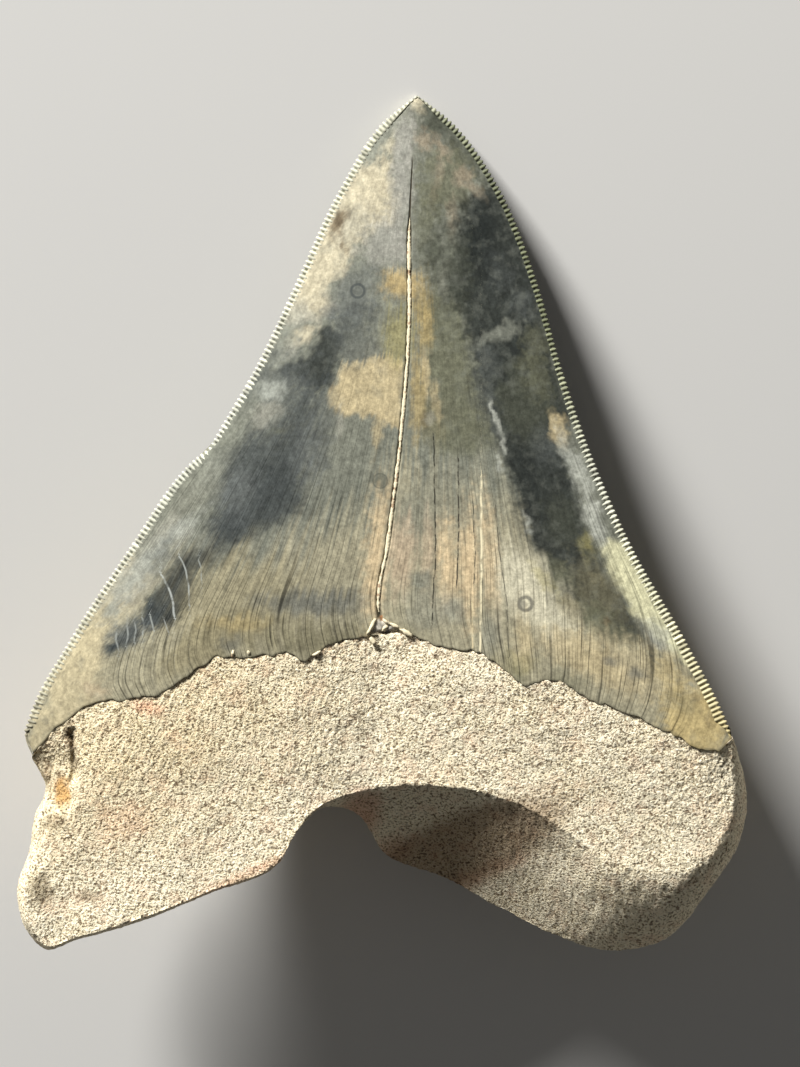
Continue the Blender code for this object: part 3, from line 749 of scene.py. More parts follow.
def root_rings():
    """Rings of shape (columns, around, 3) before the grit, each point's share of grit, and the neck."""
    across = np.linspace(0.0, 1.0, ROOT_COLUMNS + 2)[1:-1, None]
    line = along(ROOT_MARGIN, across)
    margin = np.concatenate((line[..., 0:2], -line[..., 5:6]), axis=-1)
    brow = np.concatenate((line[..., 2:4], -line[..., 4:5]), axis=-1)
    swell = along(ROOT_SWELL, across) * (1, 1, -1)
    lip_top = crown_face(across, np.ones_like(across), True)
    tongue_top = crown_face(across, np.ones_like(across), False)
    small = smooth_step(np.minimum(across, 1.0 - across) / 0.02)[..., None]
    thickness = (lip_top - tongue_top)[..., 2:]
    below_chip = np.exp(-(((lip_top[..., :1] - CHIP_MIDDLE) / CHIP_REACH) ** 2))
    hidden = lip_top + small * (0.0, 1.3, 0.0) * (1.0 - below_chip)
    hidden[..., 2:] -= np.minimum(ENAMEL_STEP + 0.9 * below_chip, 0.35 * thickness)
    start = lip_top - small * (0.0, 0.0, 1.0) * np.minimum(ROOT_STEP + 0.3 * below_chip, 0.3 * thickness)

    share = np.linspace(0.0, 1.0, FACE_ROWS)[None, :, None]
    face = start + (brow - start) * share
    fall = FACE_EVENNESS * share + (1.0 - FACE_EVENNESS) * smooth_step(share)
    face[..., 2:] = start[..., 2:] + (brow - start)[..., 2:] * fall
    face[..., 2] -= broken_ledge(face) * smooth_step(share[..., 0] / 0.25)
    run = np.linalg.norm((brow - start)[..., :2], axis=-1)
    face[..., 2] += ROOT_STEP * lumps(face * (1, 1, 0), 1.1, 3.3) * np.exp(-run * share[..., 0] / 1.2)
    turn = np.linspace(0.0, 0.5 * math.pi, BROW_ROWS)[None, 1:, None]
    side = quarter_turn(brow, margin, turn, line[..., 6:7])
    side[..., 2] -= broken_ledge(side) * (1.0 - np.sin(turn[..., 0]))
    turn = np.linspace(0.5 * math.pi, 0.0, UNDER_ROWS)[None, 1:, None]
    under = swell + (margin - swell) * np.sin(turn)
    under[..., 2:] = margin[..., 2:] + (swell - margin)[..., 2:] * np.cos(turn)
    neck_top = tongue_top + small * (0.0, 1.0, 0.0) + np.minimum(0.9, 0.35 * thickness) * (0, 0, 1)
    share = np.linspace(0.0, 1.0, NECK_ROWS)[None, 1:, None]
    neck = swell + (neck_top - swell) * share
    neck[..., 2:] = swell[..., 2:] + (neck_top - swell)[..., 2:] * smooth_step(share)
    inner = neck_top + (hidden - neck_top) * np.array((0.35, 0.7))[None, :, None]
    rings = np.concatenate((hidden, face, side, under, neck, inner), axis=1)

    grit = np.ones(rings.shape[:2])
    grit[:, -2:] = 0.0
    grit *= small[..., 0]
    band = np.zeros(rings.shape[:2])
    neck_first = FACE_ROWS + BROW_ROWS + UNDER_ROWS - 1
    band[:, neck_first:-2] = smooth_step((share[0, :, 0] - 0.62) / 0.1)
    return rings, grit, band


bare_root, grit, band = root_rings()
print("root grid:", bare_root.shape[:2])

# %% [markdown]
# ## Grit
#
# Worn bone is gritty, so the finished surface is pushed in and out along its own normals: first by broad
# lumps, then by three finer sizes. The smooth band under the tongue side's enamel takes little of it.
# How far each point went is kept as an attribute, and the material paints shade into the pits with it.

# %% Gritty root
# size and height of each kind of grain, mm
GRAIN_SIZES = ((2.2, 0.07), (0.9, 0.10), (0.5, 0.11))
LUMP_SIZE = 5.5
LUMP_HEIGHT = 0.13
BAND_SMOOTHNESS = 0.8


def ring_normals(rings):
    """Unit normals from the differences along and round the rings, turned to point outwards."""
    along_it = np.gradient(rings, axis=0)
    around = np.roll(rings, -1, axis=1) - np.roll(rings, 1, axis=1)
    normal = np.cross(around, along_it)
    normal /= np.maximum(np.linalg.norm(normal, axis=-1, keepdims=True), 1e-9)
    middle = rings.mean(axis=1, keepdims=True)
    return normal * np.sign(((rings - middle) * normal).sum())


broad = grit * LUMP_HEIGHT * lumps(bare_root, LUMP_SIZE, 2.4)
lumpy_root = bare_root + ring_normals(bare_root) * broad[..., None]
grain = sum(height * lumps(lumpy_root, size, 1.0 + size) for size, height in GRAIN_SIZES)
grain = grain * grit * (1.0 - BAND_SMOOTHNESS * band)
gritty_root = lumpy_root + ring_normals(lumpy_root) * grain[..., None]
root = ring_mesh("root", gritty_root, {"grain": grain, "drawing": gritty_root})

# %% [markdown]
# ## The minerals in the enamel
#
# The enamel took up minerals while it lay buried, so it is clouded: slate where manganese got in, ochre
# and tan where iron did, cream where it stayed pale. Each colour has a name, so that the lists of
# stains can be read like a description.

# %% Mineral colours
MINERALS = {
    "cream": "#aaa188", "ivory": "#a09983", "celadon": "#c3bf9b", "bone": "#b6b098", "pearl": "#9fa094",
    "lilac": "#8b897f", "mist": "#878578", "pale green": "#888a80", "ash": "#6c6c60", "dove": "#78796d",
    "stone": "#6c6d61", "steel": "#575a57", "smoke": "#484b48", "graphite": "#343838",
    "night": "#2a3134", "slate": "#2a2d2a", "charcoal": "#222523", "moss": "#404238",
    "olive": "#5b5b49", "fern": "#6b6650", "mustard": "#857d50", "khaki": "#ab996b", "tan": "#a99a77",
    "ochre": "#a48e5f", "amber": "#97855a", "peach": "#bfaa86", "rose": "#a5937a", "fawn": "#857a67",
    "umber": "#4f412e", "earth": "#7a7258", "straw": "#8f8972", "sand": "#a4997b",
}
print("mineral colours:", len(MINERALS))

# %% [markdown]
# ## Clouds with an outline
#
# Some clouds have a shape of their own: the dark side beside the right edge, the pale shoulder beside
# the left one, the dark arm between them. Each is an outline of straight sides, and the distance in from
# it decides how much of the mineral shows. Its softness is the width of that change, and its streaks say
# how far the change is drawn out along the fibres.

# %% Outlined clouds
DARK_SIDE = (
    (12.6, 49.5), (16.5, 51.5), (19.5, 48), (25, 31), (28.6, 16), (28, 11.5), (29.5, 5), (30.6, 1),
    (31.2, -1.5), (33.4, -5), (35, -9.5), (38.2, -13.2), (39.4, -16.4), (36.8, -18), (31.5, -15),
    (28, -10.5), (25, -7), (22.8, -3.5), (21.8, 0), (20.2, 4), (19.2, 8), (16.8, 13), (15.6, 18),
    (14.8, 22), (13.6, 26.5), (12, 31), (10.4, 35), (10.8, 40), (12.2, 44.5),
)
LEFT_SHOULDER = (
    (-55, -35.5), (-47.5, -30.5), (-42.6, -26.6), (-42.4, -21), (-41.4, -17), (-39, -14), (-37, -12),
    (-35, -8), (-38, -3), (-50, -22),
)
# mineral, the outline's corners in mm, softness in mm, streaks, strength
PATCHES = (
    ("straw", (
        (-54, -36), (-47, -16), (-30, -9), (-16, -3), (-4, 1), (3, 8), (17, 8), (30, -12), (50, -20),
        (54, -36), (0, -34),
    ), 7, 0.9, 0.95),
    ("cream", (
        (-3.6, 54.6), (1.2, 54.4), (2.2, 49), (2.2, 44.8), (-0.5, 44.6), (-4, 42), (-5.6, 38.6),
        (-8.2, 36.4), (-6.8, 33), (-8.6, 31.4), (-12.4, 31.4), (-16, 32), (-9, 47),
    ), 1.5, 0, 0.9),
    ("steel", (
        (-0.8, 39.6), (-0.4, 36), (-1.8, 32.6), (-4.4, 30.6), (-6.6, 31.4), (-7.6, 34.6), (-6.2, 37.6),
        (-3.6, 38.4),
    ), 2.4, 0.1, 0.6),
    ("olive", (
        (5.4, 33), (8.6, 37), (11, 34), (13.6, 28), (16.4, 19), (17.8, 12), (14, 10.5), (9, 11),
        (6.4, 14),
    ), 2.6, 0.5, 0.85),
    ("slate", DARK_SIDE, 1.6, 0.15, 0.95),
    ("slate", (
        (-8.2, 30.4), (-5.6, 28.4), (-6.8, 24.4), (-7.4, 20.6), (-10.6, 20.2), (-12.6, 21.8),
        (-15.4, 21.2), (-15.6, 24.4), (-12.6, 25.2), (-10.6, 26.6), (-9.6, 29.4),
    ), 1.3, 0.05, 0.92),
    ("graphite", (
        (-9, 22), (-10.2, 15), (-11.5, 8), (-11.8, 1.8), (-15.4, 0), (-20, -1.6), (-26, -5.5),
        (-28.5, -2), (-25.5, 2), (-24.5, 7), (-22.6, 11), (-19.5, 14), (-15, 15.4), (-13.5, 21),
    ), 3.4, 0.55, 0.84),
    ("night", (
        (-31, -4.8), (-26.2, -3.4), (-25.6, -5), (-27.8, -7.2), (-28.4, -11), (-31.2, -14.2),
        (-34.4, -16.2), (-37, -15.4), (-36, -12), (-33.2, -8),
    ), 1.5, 0.1, 0.9),
    ("sand", LEFT_SHOULDER, 2.4, 0, 0.95),
    ("tan", (
        (-6.2, 24), (-3.6, 24.6), (0.6, 25.6), (3.4, 25), (3.2, 20), (2.6, 14.6), (0.2, 15.6),
        (-1.8, 16.6), (-4.2, 16.8), (-7.6, 17.2), (-8, 19.4), (-6.6, 21.4),
    ), 0.9, 0.55, 0.86),
    ("celadon", (
        (33.2, -2.6), (36.8, -2.6), (41.2, -8.6), (46.4, -16.8), (49.4, -22.4), (47.4, -22.4),
        (43.8, -19.6), (39.8, -14.8), (36.8, -11.4), (34.6, -7),
    ), 1, 0, 0.9),
)
print("outlined clouds:", len(PATCHES))

# %% [markdown]
# ## Soft spots
#
# All other clouds are soft leaning ovals, from specks of half a millimetre to clouds as wide as a thumb.
# They are laid one over another like glazes, so the order of the list counts.

# %% Soft spots
# mineral, centre x and y, half width, half length, lean of the long axis, softness, streaks, strength
STAINS = (
    ("ash", 5.2, 61.5, 6, 5, 0, 3, 0, 0.85), ("moss", 8.2, 61.2, 1.7, 3.4, -40, 1.2, 0, 0.9),
    ("moss", 8.6, 48.6, 1.6, 2.8, 0, 1.6, 0.1, 0.55), ("moss", 12.8, 56, 1.8, 5, -34, 1.6, 0, 0.8),
    ("olive", 9.8, 52.6, 4, 5, -10, 2.4, 0.1, 0.75), ("cream", 5.4, 64.6, 1.6, 1.8, 0, 1.2, 0, 0.85),
    ("moss", 5, 60.4, 1.6, 1.2, 0, 1, 0, 0.45), ("dove", 0.2, 57.4, 1.8, 5, 42, 1.6, 0, 0.7),
    ("ivory", 1.4, 57.6, 1.1, 1.6, 20, 1.2, 0, 0.8), ("cream", -1.6, 51.6, 2.4, 4.6, 34, 1.6, 0, 0.7),
    ("moss", 8, 59.4, 1.4, 2, -30, 1, 0, 0.6), ("lilac", 3.4, 57.6, 1.4, 4, 8, 1.4, 0, 0.8),
    ("lilac", 2.8, 49.6, 1.7, 6.6, 2, 1.6, 0.2, 0.75), ("lilac", 0.8, 43, 3.4, 3.6, 10, 2.6, 0.1, 0.7),
    ("mist", -4.4, 45.6, 2.4, 3.4, 30, 3, 0, 0.45), ("fawn", 6.5, 58.4, 0.9, 1.5, -20, 1, 0.1, 0.75),
    ("fawn", 9.3, 57.2, 0.7, 1.9, -34, 0.8, 0.1, 0.7), ("fawn", 8.3, 52.4, 0.6, 3.2, 6, 0.8, 0.2, 0.65),
    ("fawn", 12.3, 52.8, 1.3, 1.5, 20, 1, 0.1, 0.75), ("fawn", 14.2, 51, 0.7, 1.8, -40, 0.8, 0.1, 0.7),
    ("fawn", 10.9, 46.4, 0.7, 2.8, 2, 0.8, 0.2, 0.65), ("olive", 6.6, 46, 1.4, 5.6, 2, 1.6, 0.3, 0.6),
    ("moss", 7.6, 41.2, 1.8, 1.6, 0, 1.6, 0.2, 0.7),
    ("charcoal", 14.2, 43.8, 3.2, 5, -10, 2.6, 0.1, 0.9),
    ("charcoal", 11.8, 36, 2.2, 3.4, -14, 2.2, 0.1, 0.8), ("smoke", 15.6, 19, 1.6, 5, -14, 2, 0.3, 0.6),
    ("smoke", 17.4, 38, 2, 3.4, -16, 2.6, 0, 0.45), ("moss", 22, 19, 4.6, 6.5, -15, 3, 0, 0.85),
    ("smoke", 25.4, 11.6, 2.4, 3.2, -20, 2.2, 0, 0.55), ("smoke", 21.6, 33, 1.6, 2.4, -20, 1.6, 0, 0.6),
    ("dove", 18, 28.8, 1, 3.4, 66, 0.9, 0, 0.65), ("slate", 19.6, 26.6, 3, 1.8, -16, 1.4, 0, 0.8),
    ("olive", 23.4, 27.8, 1.8, 2.6, -16, 1.6, 0, 0.55),
    ("olive", 23.4, 22.4, 2.2, 3.6, -14, 2.2, 0, 0.5), ("charcoal", 18.4, 22.6, 1.1, 1, 0, 0.9, 0, 0.7),
    ("smoke", 16.6, 24.6, 1.1, 2.4, -20, 1.2, 0.2, 0.5),
    ("charcoal", 22.8, 1.6, 3, 4.6, -24, 3, 0, 0.45),
    ("charcoal", 21.4, 8.6, 1.8, 3.6, -16, 2, 0.2, 0.6),
    ("olive", 31.4, -3, 1.4, 2.2, -20, 1.6, 0, 0.75), ("fern", 33, -10.6, 3.6, 6, -30, 3, 0.1, 0.55),
    ("olive", 33.6, -15.4, 5.4, 2.2, 34, 1.8, 0.2, 0.85),
    ("olive", 26.6, -7.4, 1.4, 2.6, -40, 1.4, 0.2, 0.7),
    ("umber", 34.5, -14.7, 0.8, 0.5, 0, 0.6, 0, 0.6), ("moss", 37.6, -17, 2.2, 0.9, 26, 1, 0, 0.6),
    ("tan", 26.9, 14.2, 1.4, 2.7, -22, 0.9, 0, 0.8), ("pearl", 29.8, 7.6, 1.1, 5.4, -24, 1.1, 0, 0.85),
    ("pearl", 32, 0.6, 1.3, 3.4, -22, 1, 0, 0.9), ("pearl", 42.2, -17, 1.7, 3.2, -36, 1.6, 0, 0.55),
    ("bone", 22.6, -10.6, 3.8, 8.8, -42, 3, 0.6, 0.97), ("sand", 37, -21.6, 8, 3.8, 30, 3.4, 0.4, 0.8),
    ("khaki", 47.6, -30, 4.8, 5.6, -30, 3, 0.1, 0.9),
    ("khaki", 43.6, -22.6, 2, 3.6, -40, 2.6, 0.2, 0.45), ("mustard", 30.8, -2.6, 1, 1.5, 0, 1, 0, 0.5),
    ("mustard", 24.4, -8, 0.7, 3, -42, 0.8, 0.1, 0.5),
    ("fern", 28.2, -11.4, 0.9, 1.8, -30, 0.9, 0.1, 0.5), ("fern", 32.6, -8, 1.2, 0.8, 20, 0.8, 0, 0.5),
    ("stone", 4.2, -0.4, 1.8, 4, 0, 2, 0.4, 0.5), ("olive", 28, -24, 2.6, 2, 0, 2, 0.5, 0.4),
    ("olive", 7.6, 50, 1.6, 3.4, 0, 1.6, 0.1, 0.6), ("mist", -12.4, 32.6, 1.6, 1.6, 0, 1.4, 0, 0.5),
    ("ash", -2.6, 26.2, 3, 1.4, 0, 1, 0.3, 0.85), ("charcoal", 14.6, 39.6, 2.2, 5, -12, 2.4, 0.1, 0.5),
    ("graphite", -17, 5.6, 3, 5, 20, 3, 0.3, 0.5), ("stone", 16.6, 8.6, 1.8, 3.4, -10, 2, 0.3, 0.65),
    ("fern", 45.6, -27, 2.4, 1.3, 34, 1.2, 0.1, 0.45),
    ("umber", 47.4, -25.8, 0.9, 0.5, 30, 0.6, 0, 0.4),
    ("umber", 50, -29.6, 0.8, 1.2, -20, 0.8, 0, 0.35), ("tan", 31, -20.4, 8, 2.4, 28, 2, 0.3, 0.65),
    ("moss", 27.4, 0.6, 2.4, 3.4, -20, 2.4, 0, 0.6),
    ("earth", 28.6, -12.8, 1.5, 2.2, -40, 1.4, 0.3, 0.5),
    ("steel", 35, -20.8, 1.2, 0.7, 0, 0.9, 0, 0.6), ("steel", 38.4, -22.6, 1.5, 0.8, -10, 1, 0, 0.6),
    ("tan", 21.4, -17.6, 1.4, 4, -4, 1.6, 0.5, 0.6), ("olive", 20.6, -23, 1.8, 1, 0, 1, 0.2, 0.6),
    ("ochre", 3.2, 36.4, 2.8, 2, 0, 1.8, 0.3, 0.7), ("amber", 6.2, 33.4, 1.4, 3.8, 2, 1.8, 0.5, 0.6),
    ("mustard", 2.6, 28.6, 2.2, 4.2, 2, 2, 0.6, 0.6), ("amber", 6.8, 29.4, 1.1, 3, 2, 1.2, 0.6, 0.55),
    ("mist", 9.3, 37, 0.7, 2.6, -2, 0.8, 0.5, 0.45), ("tan", 6.8, 22.4, 0.6, 3.2, -3, 0.5, 0.4, 0.75),
    ("amber", 5.4, 19.4, 1.1, 5.6, 0, 1, 0.6, 0.65), ("tan", 8.4, 18.2, 0.7, 2.6, -6, 0.6, 0.4, 0.65),
    ("tan", -0.6, 14.4, 0.7, 2.6, 6, 0.7, 0.5, 0.65), ("mist", -6.2, 15.6, 0.5, 2.4, 8, 0.5, 0.4, 0.6),
    ("stone", 12.4, 4.6, 6.4, 6, 0, 4, 0.5, 0.5), ("pearl", 16.6, 17.2, 0.35, 1.7, -14, 0.35, 0, 0.75),
    ("pearl", 17.5, 15, 0.35, 1.2, -10, 0.35, 0, 0.7),
    ("pearl", 18.3, 12.6, 0.35, 1.6, -10, 0.35, 0, 0.75),
    ("pearl", 18, 9.2, 0.35, 1.3, -8, 0.35, 0, 0.65), ("pearl", 21.8, 0.6, 0.35, 1.8, -16, 0.4, 0, 0.6),
    ("umber", 6.5, 16.1, 0.5, 1, 0, 0.5, 0, 0.75), ("mist", 7.2, 16.2, 0.7, 0.8, 0, 0.5, 0, 0.8),
    ("fern", 7.8, 15.6, 1.8, 3.6, 0, 1.8, 0.5, 0.5), ("cream", -12.4, 28.4, 1, 2.4, 55, 0.9, 0, 0.8),
    ("mist", -14.2, 26.4, 0.8, 1.8, 40, 0.8, 0, 0.8), ("olive", -16.2, 14.2, 1.3, 0.6, 0, 0.6, 0, 0.7),
    ("graphite", -22.6, 0, 1.8, 3, 30, 1.6, 0.3, 0.7), ("dove", -15.2, 26.4, 1.2, 4, 28, 1.2, 0, 0.75),
    ("smoke", -17, 18.8, 4.8, 7.6, 30, 4, 0, 0.74), ("smoke", -23.8, 8, 2.4, 4.6, 35, 2.4, 0, 0.55),
    ("steel", -8, 32.4, 1.5, 1.6, 0, 1.4, 0, 0.6), ("moss", 8.2, 40.4, 1.6, 4, -2, 2, 0.2, 0.5),
    ("smoke", -3.8, 31.8, 3.2, 2.4, 0, 2.4, 0, 0.45), ("stone", 5, 1.8, 3, 3.6, 0, 2.4, 0.4, 0.4),
    ("pale green", -16.8, 20.4, 2.4, 1.5, -16, 1, 0, 0.75),
    ("mist", -17.4, 16.8, 2.6, 1.6, -24, 1.2, 0, 0.65),
    ("stone", -21.4, 15.6, 1.6, 4.4, 32, 1.6, 0, 0.7), ("steel", -21.8, 4.6, 2.4, 4, 30, 2.4, 0, 0.7),
    ("steel", -10.8, 11, 2.6, 4, 8, 2.4, 0.3, 0.6), ("ash", -29, 3.6, 2.2, 6.6, 40, 1.8, 0.1, 0.75),
    ("dove", -26.2, 8, 1.4, 3, 40, 1.4, 0, 0.6), ("dove", -28.4, -1.6, 2.6, 2, -30, 1.8, 0, 0.75),
    ("mist", -32.6, -2.6, 2.6, 4, 40, 2, 0, 0.7), ("mist", -38.2, -8.8, 2.8, 6, 40, 2.6, 0, 0.8),
    ("night", -33.2, -13.4, 1.8, 1.6, 0, 1.4, 0, 0.6),
    ("steel", -38.4, -16.6, 3.4, 1.8, -32, 1.6, 0.5, 0.7),
    ("dove", -41, -13.6, 1.2, 1.4, 0, 1.4, 0, 0.5), ("rose", -43.4, -25, 1.8, 1.2, 20, 1.4, 0.1, 0.4),
    ("earth", -22, -11, 11, 6.6, 10, 4, 0.8, 0.5), ("earth", -26, -18, 9, 3, -28, 2.4, 0.8, 0.75),
    ("fern", -8, -17.6, 11, 2.4, 0, 2.4, 0.7, 0.75), ("amber", -22, -15, 4, 0.9, 0, 1, 0.5, 0.4),
    ("steel", -10.4, -11.8, 7.4, 1.8, 0, 1.6, 0.7, 0.7),
    ("smoke", -4.4, 28.6, 3, 4.2, 0, 2.6, 0.1, 0.6), ("smoke", -8.8, 15.6, 2, 5, 6, 2, 0.2, 0.5),
    ("moss", 10.6, 38.6, 2.8, 7.4, -4, 3, 0.2, 0.6), ("mist", -12.4, 31.6, 2.4, 1.2, 10, 1.4, 0, 0.6),
    ("steel", -22.8, -18, 1.6, 1.4, 0, 1.4, 0.5, 0.5), ("peach", -0.9, -6.4, 1.4, 8, 3, 2, 0.4, 0.85),
    ("peach", 0.3, 2.4, 0.8, 3, 8, 1.2, 0.5, 0.55), ("rose", 3, -4.6, 1.8, 5, 3, 1.8, 0.6, 0.75),
    ("rose", 7, -4.4, 1, 5, 0, 1.2, 0.6, 0.6), ("peach", 9.8, -6.2, 1.4, 5.6, 0, 1.8, 0.4, 0.85),
    ("peach", 13.1, -6.6, 1.5, 7.4, 0, 1.8, 0.4, 0.9),
    ("peach", 16.6, -5.6, 1.1, 6.6, -4, 1.6, 0.4, 0.75),
    ("stone", 6, -8.6, 1.5, 1.4, 0, 1.2, 0.2, 0.75), ("dove", 7.4, -12.6, 3.4, 3.2, 0, 2.4, 0.4, 0.45),
    ("dove", 11, -13, 1.6, 2, 0, 1.6, 0.2, 0.6), ("dove", 16.4, -16, 1.5, 3.6, 0, 1.4, 0.7, 0.55),
    ("umber", -6.6, 45.8, 0.8, 2.6, 38, 0.9, 0, 0.85),
    ("umber", -5.8, 42.6, 0.4, 1.6, -24, 0.5, 0, 0.65),
    ("night", -31.4, -9.6, 2.2, 6.4, 32, 2.2, 0.3, 0.45),
    ("night", -41.2, -18.8, 0.9, 1.2, 20, 0.9, 0, 0.75),
    ("steel", -38.6, -16.4, 1.2, 2.6, 66, 1.4, 0.3, 0.7),
    ("mist", -3.7, 41.4, 0.8, 0.8, 0, 0.8, 0, 0.6), ("night", -38.6, -17, 2.8, 1.1, -34, 1, 0, 0.45),
    ("night", -41, -18.6, 0.9, 0.9, 0, 0.7, 0, 0.5),
    ("pale green", -36.4, -6.8, 1.3, 6, 38, 1.4, 0, 0.7),
    ("pale green", -30, -0.6, 1, 3.6, 42, 1.2, 0, 0.65),
    ("smoke", -33, -4.4, 1.1, 2.6, 40, 1.2, 0, 0.5), ("mustard", 20.4, -21, 3, 1.8, 0, 2, 0.5, 0.3),
)
print("soft spots:", len(STAINS))

# %% [markdown]
# ## Laying the stains
#
# What keeps the ovals from looking like ovals is that the place is bent first: by cloudy noise, and by
# streaky noise that runs along the fibres of the tooth. Each stain is then mixed in by its share. A
# little mottle goes over them all.

# %% Lay the stains
BEND_STEPS = ((0.5, 4.5, 0.4), (0.5, 1.7, 7.7), (0.35, 0.8, 3.1))
CRUMBLE_STEPS = ((0.5, 1.5, 2.9), (0.6, 0.75, 6.6), (0.4, 0.45, 1.6))
SOFTENING = 1.3


def inside_outline(places, corners):
    """Distance in from a closed outline of straight sides; negative outside it."""
    corners = np.array(corners, dtype=float)
    nearest = np.full(places.shape[:-1], np.inf)
    inside = np.zeros(places.shape[:-1], dtype=bool)
    for start, end in zip(corners, np.roll(corners, -1, axis=0)):
        run = end - start
        offset = places - start
        share = np.clip((offset @ run) / (run @ run), 0.0, 1.0)
        nearest = np.minimum(nearest, np.linalg.norm(offset - share[..., None] * run, axis=-1))
        spans = (start[1] > places[..., 1]) != (end[1] > places[..., 1])
        crossing = run[0] * offset[..., 1] / (run[1] + 1e-9) + start[0]
        inside ^= spans & (places[..., 0] < crossing)
    return np.where(inside, nearest, -nearest)


def inside_oval(places, x, y, half_width, half_length, lean):
    """Distance in from a leaning oval, taken along its narrow way; negative outside it."""
    offset = places - (x, y)
    cosine, sine = math.cos(math.radians(lean)), math.sin(math.radians(lean))
    across = (offset[..., 0] * cosine - offset[..., 1] * sine) / half_width
    ahead = (offset[..., 0] * sine + offset[..., 1] * cosine) / half_length
    return (1.0 - np.hypot(across, ahead)) * min(half_width, half_length)


def clouded(places, fibres, lane, travel):
    """Colour of each place: the stains in turn, each mixed in by its share of a bent soft shape."""
    flat = places * (1, 1, 0)
    bend = np.stack([
        sum(share * lumps(flat, size, shift + side) for share, size, shift in BEND_STEPS)
        for side in (0.0, 40.0)
    ], axis=-1)
    reed = lumps(np.stack((lane / 0.9, travel / 9.0, 0 * lane), axis=-1), 1.0, 0.7)
    fine_reed = lumps(np.stack((lane / 0.45, travel / 6.0, 0 * lane), axis=-1), 1.0, 5.2)
    pull = (1.3 * reed + 1.2 * fine_reed)[..., None] * fibres[..., :2]
    crumble = sum(share * lumps(flat, size, shift) for share, size, shift in CRUMBLE_STEPS)
    colour = np.zeros(places.shape) + linear(MINERALS["stone"])
    shapes = [(mineral, (corners,), *rest) for mineral, corners, *rest in PATCHES]
    shapes += [(row[0], row[1:6], *row[6:]) for row in STAINS]
    for mineral, shape, softness, streaks, strength in shapes:
        bent = places[..., :2] + bend * (1.0 - 0.6 * streaks) + pull * streaks
        inside = inside_outline(bent, *shape) if len(shape) == 1 else inside_oval(bent, *shape)
        broken = crumble * (1.0 - streaks) + fine_reed * streaks
        share = strength * smooth_step(inside / (SOFTENING * softness) + 0.5 + 0.55 * broken)
        colour = blend(colour, linear(MINERALS[mineral]), share)
    mottle = 1.0 + 0.14 * lumps(flat, 1.6, 4.4) + 0.16 * lumps(flat, 0.7, 8.1) + 0.10 * fine_reed
    return colour * mottle[..., None]


fibres = np.gradient(lip, axis=0)
fibres = fibres / np.linalg.norm(fibres, axis=-1, keepdims=True)
lip_travel = rows_down * CROWN_HEIGHT + 0 * lip_across
lip_colour = clouded(lip, fibres, lanes(lip_across, rows_down), lip_travel)
print("mean colour of the lip face, linear:", lip_colour.mean(axis=(0, 1)).round(3))

# %% [markdown]
# ## Cracks and scratches
#
# Cracks are far narrower than the grid, so the mesh carries each one's signed distance instead. A
# distance changes evenly across a face, and the shader can draw a line a tenth of a millimetre wide
# wherever it passes through zero. Beyond a crack's ends the distance jumps, and the line dies away. A
# vector holds three numbers, so three lines share one attribute.

# %% Cracks and scratches
# half width in mm, colour, strength, and the path from its upper end
LINES = (
    (0.15, "#d6cba9", 1.0, ((15.1, 7.4), (15.1, 0.0), (15.1, -10.0), (14.9, -19.0))),
    (0.12, "#cabb95", 0.9, ((13.7, -12.0), (13.8, -19.0))),
    (0.11, "#302f28", 1.0, ((7.9, 14.0), (8.2, -4.0), (7.9, -10.0), (7.6, -15.0))),
    (0.11, "#33302a", 1.0, ((11.6, 10.0), (11.7, 0.0), (11.4, -9.0))),
    (0.08, "#3a3a32", 0.9, ((13.8, 3.5), (14.2, -4.0), (14.0, -9.0))),
    (0.08, "#403e36", 0.8, ((17.3, 3.0), (17.6, -2.0), (19.0, -12.0), (19.3, -20.0))),
    (0.16, "#a3a6a0", 0.75, ((-33.4, -7.6), (-32.3, -9.4), (-31.6, -11.4), (-31.4, -14.0))),
    (0.13, "#9b9e98", 0.7, ((-30.6, -4.9), (-29.6, -7.0), (-29.2, -9.5), (-29.1, -12.2))),
    (0.11, "#90938d", 0.6, ((-27.6, -5.6), (-27.3, -7.0), (-27.3, -8.8))),
    (0.14, "#8d908a", 0.6, ((-40.1, -16.3), (-40.2, -17.6), (-39.9, -19.1))),
    (0.14, "#92958f", 0.65, ((-38.5, -15.4), (-38.4, -16.8), (-38.7, -18.2))),
    (0.12, "#8d908a", 0.6, ((-37.3, -14.9), (-37.2, -16.2), (-37.5, -17.7))),
    (0.12, "#92958f", 0.6, ((-36.1, -14.2), (-35.9, -15.4), (-36.2, -16.6))),
    (0.13, "#92958f", 0.65, ((-35.0, -13.8), (-34.7, -15.0), (-34.6, -15.9))),
    (0.10, "#92958f", 0.6, ((-32.8, -14.4), (-32.6, -15.4), (-32.4, -16.3))),
)
OUT_OF_RANGE = 9.0


def line_distance(places, path):
    """Distance across the line, plus how far beyond its ends the place is, with the sign kept."""
    x, y = np.transpose(path)
    across = places[..., 0] - np.interp(places[..., 1], y[::-1], x[::-1])
    across = across + 0.12 * lumps(places * (0, 1, 0), 1.7, x[0])
    beyond = np.maximum(np.maximum(y[-1] - places[..., 1], places[..., 1] - y[0]), 0.0)
    return across + np.sign(across) * beyond


distances = [line_distance(lip, path) for *_, path in LINES]
for first in range(0, len(LINES), 3):
    trio = np.stack(distances[first:first + 3], axis=-1)
    set_values(enamel_body.data, f"lines_{first // 3}", over_the_body(trio, OUT_OF_RANGE))
print("cracks and scratches:", len(LINES))

# %% [markdown]
# ## Where the fibres show
#
# The crown is streaked along its fibres towards its foot. Its dark side, the pale shoulder and the right
# corner stayed smooth, and down the middle the streaks are weaker. One number per vertex says how strong
# they are.

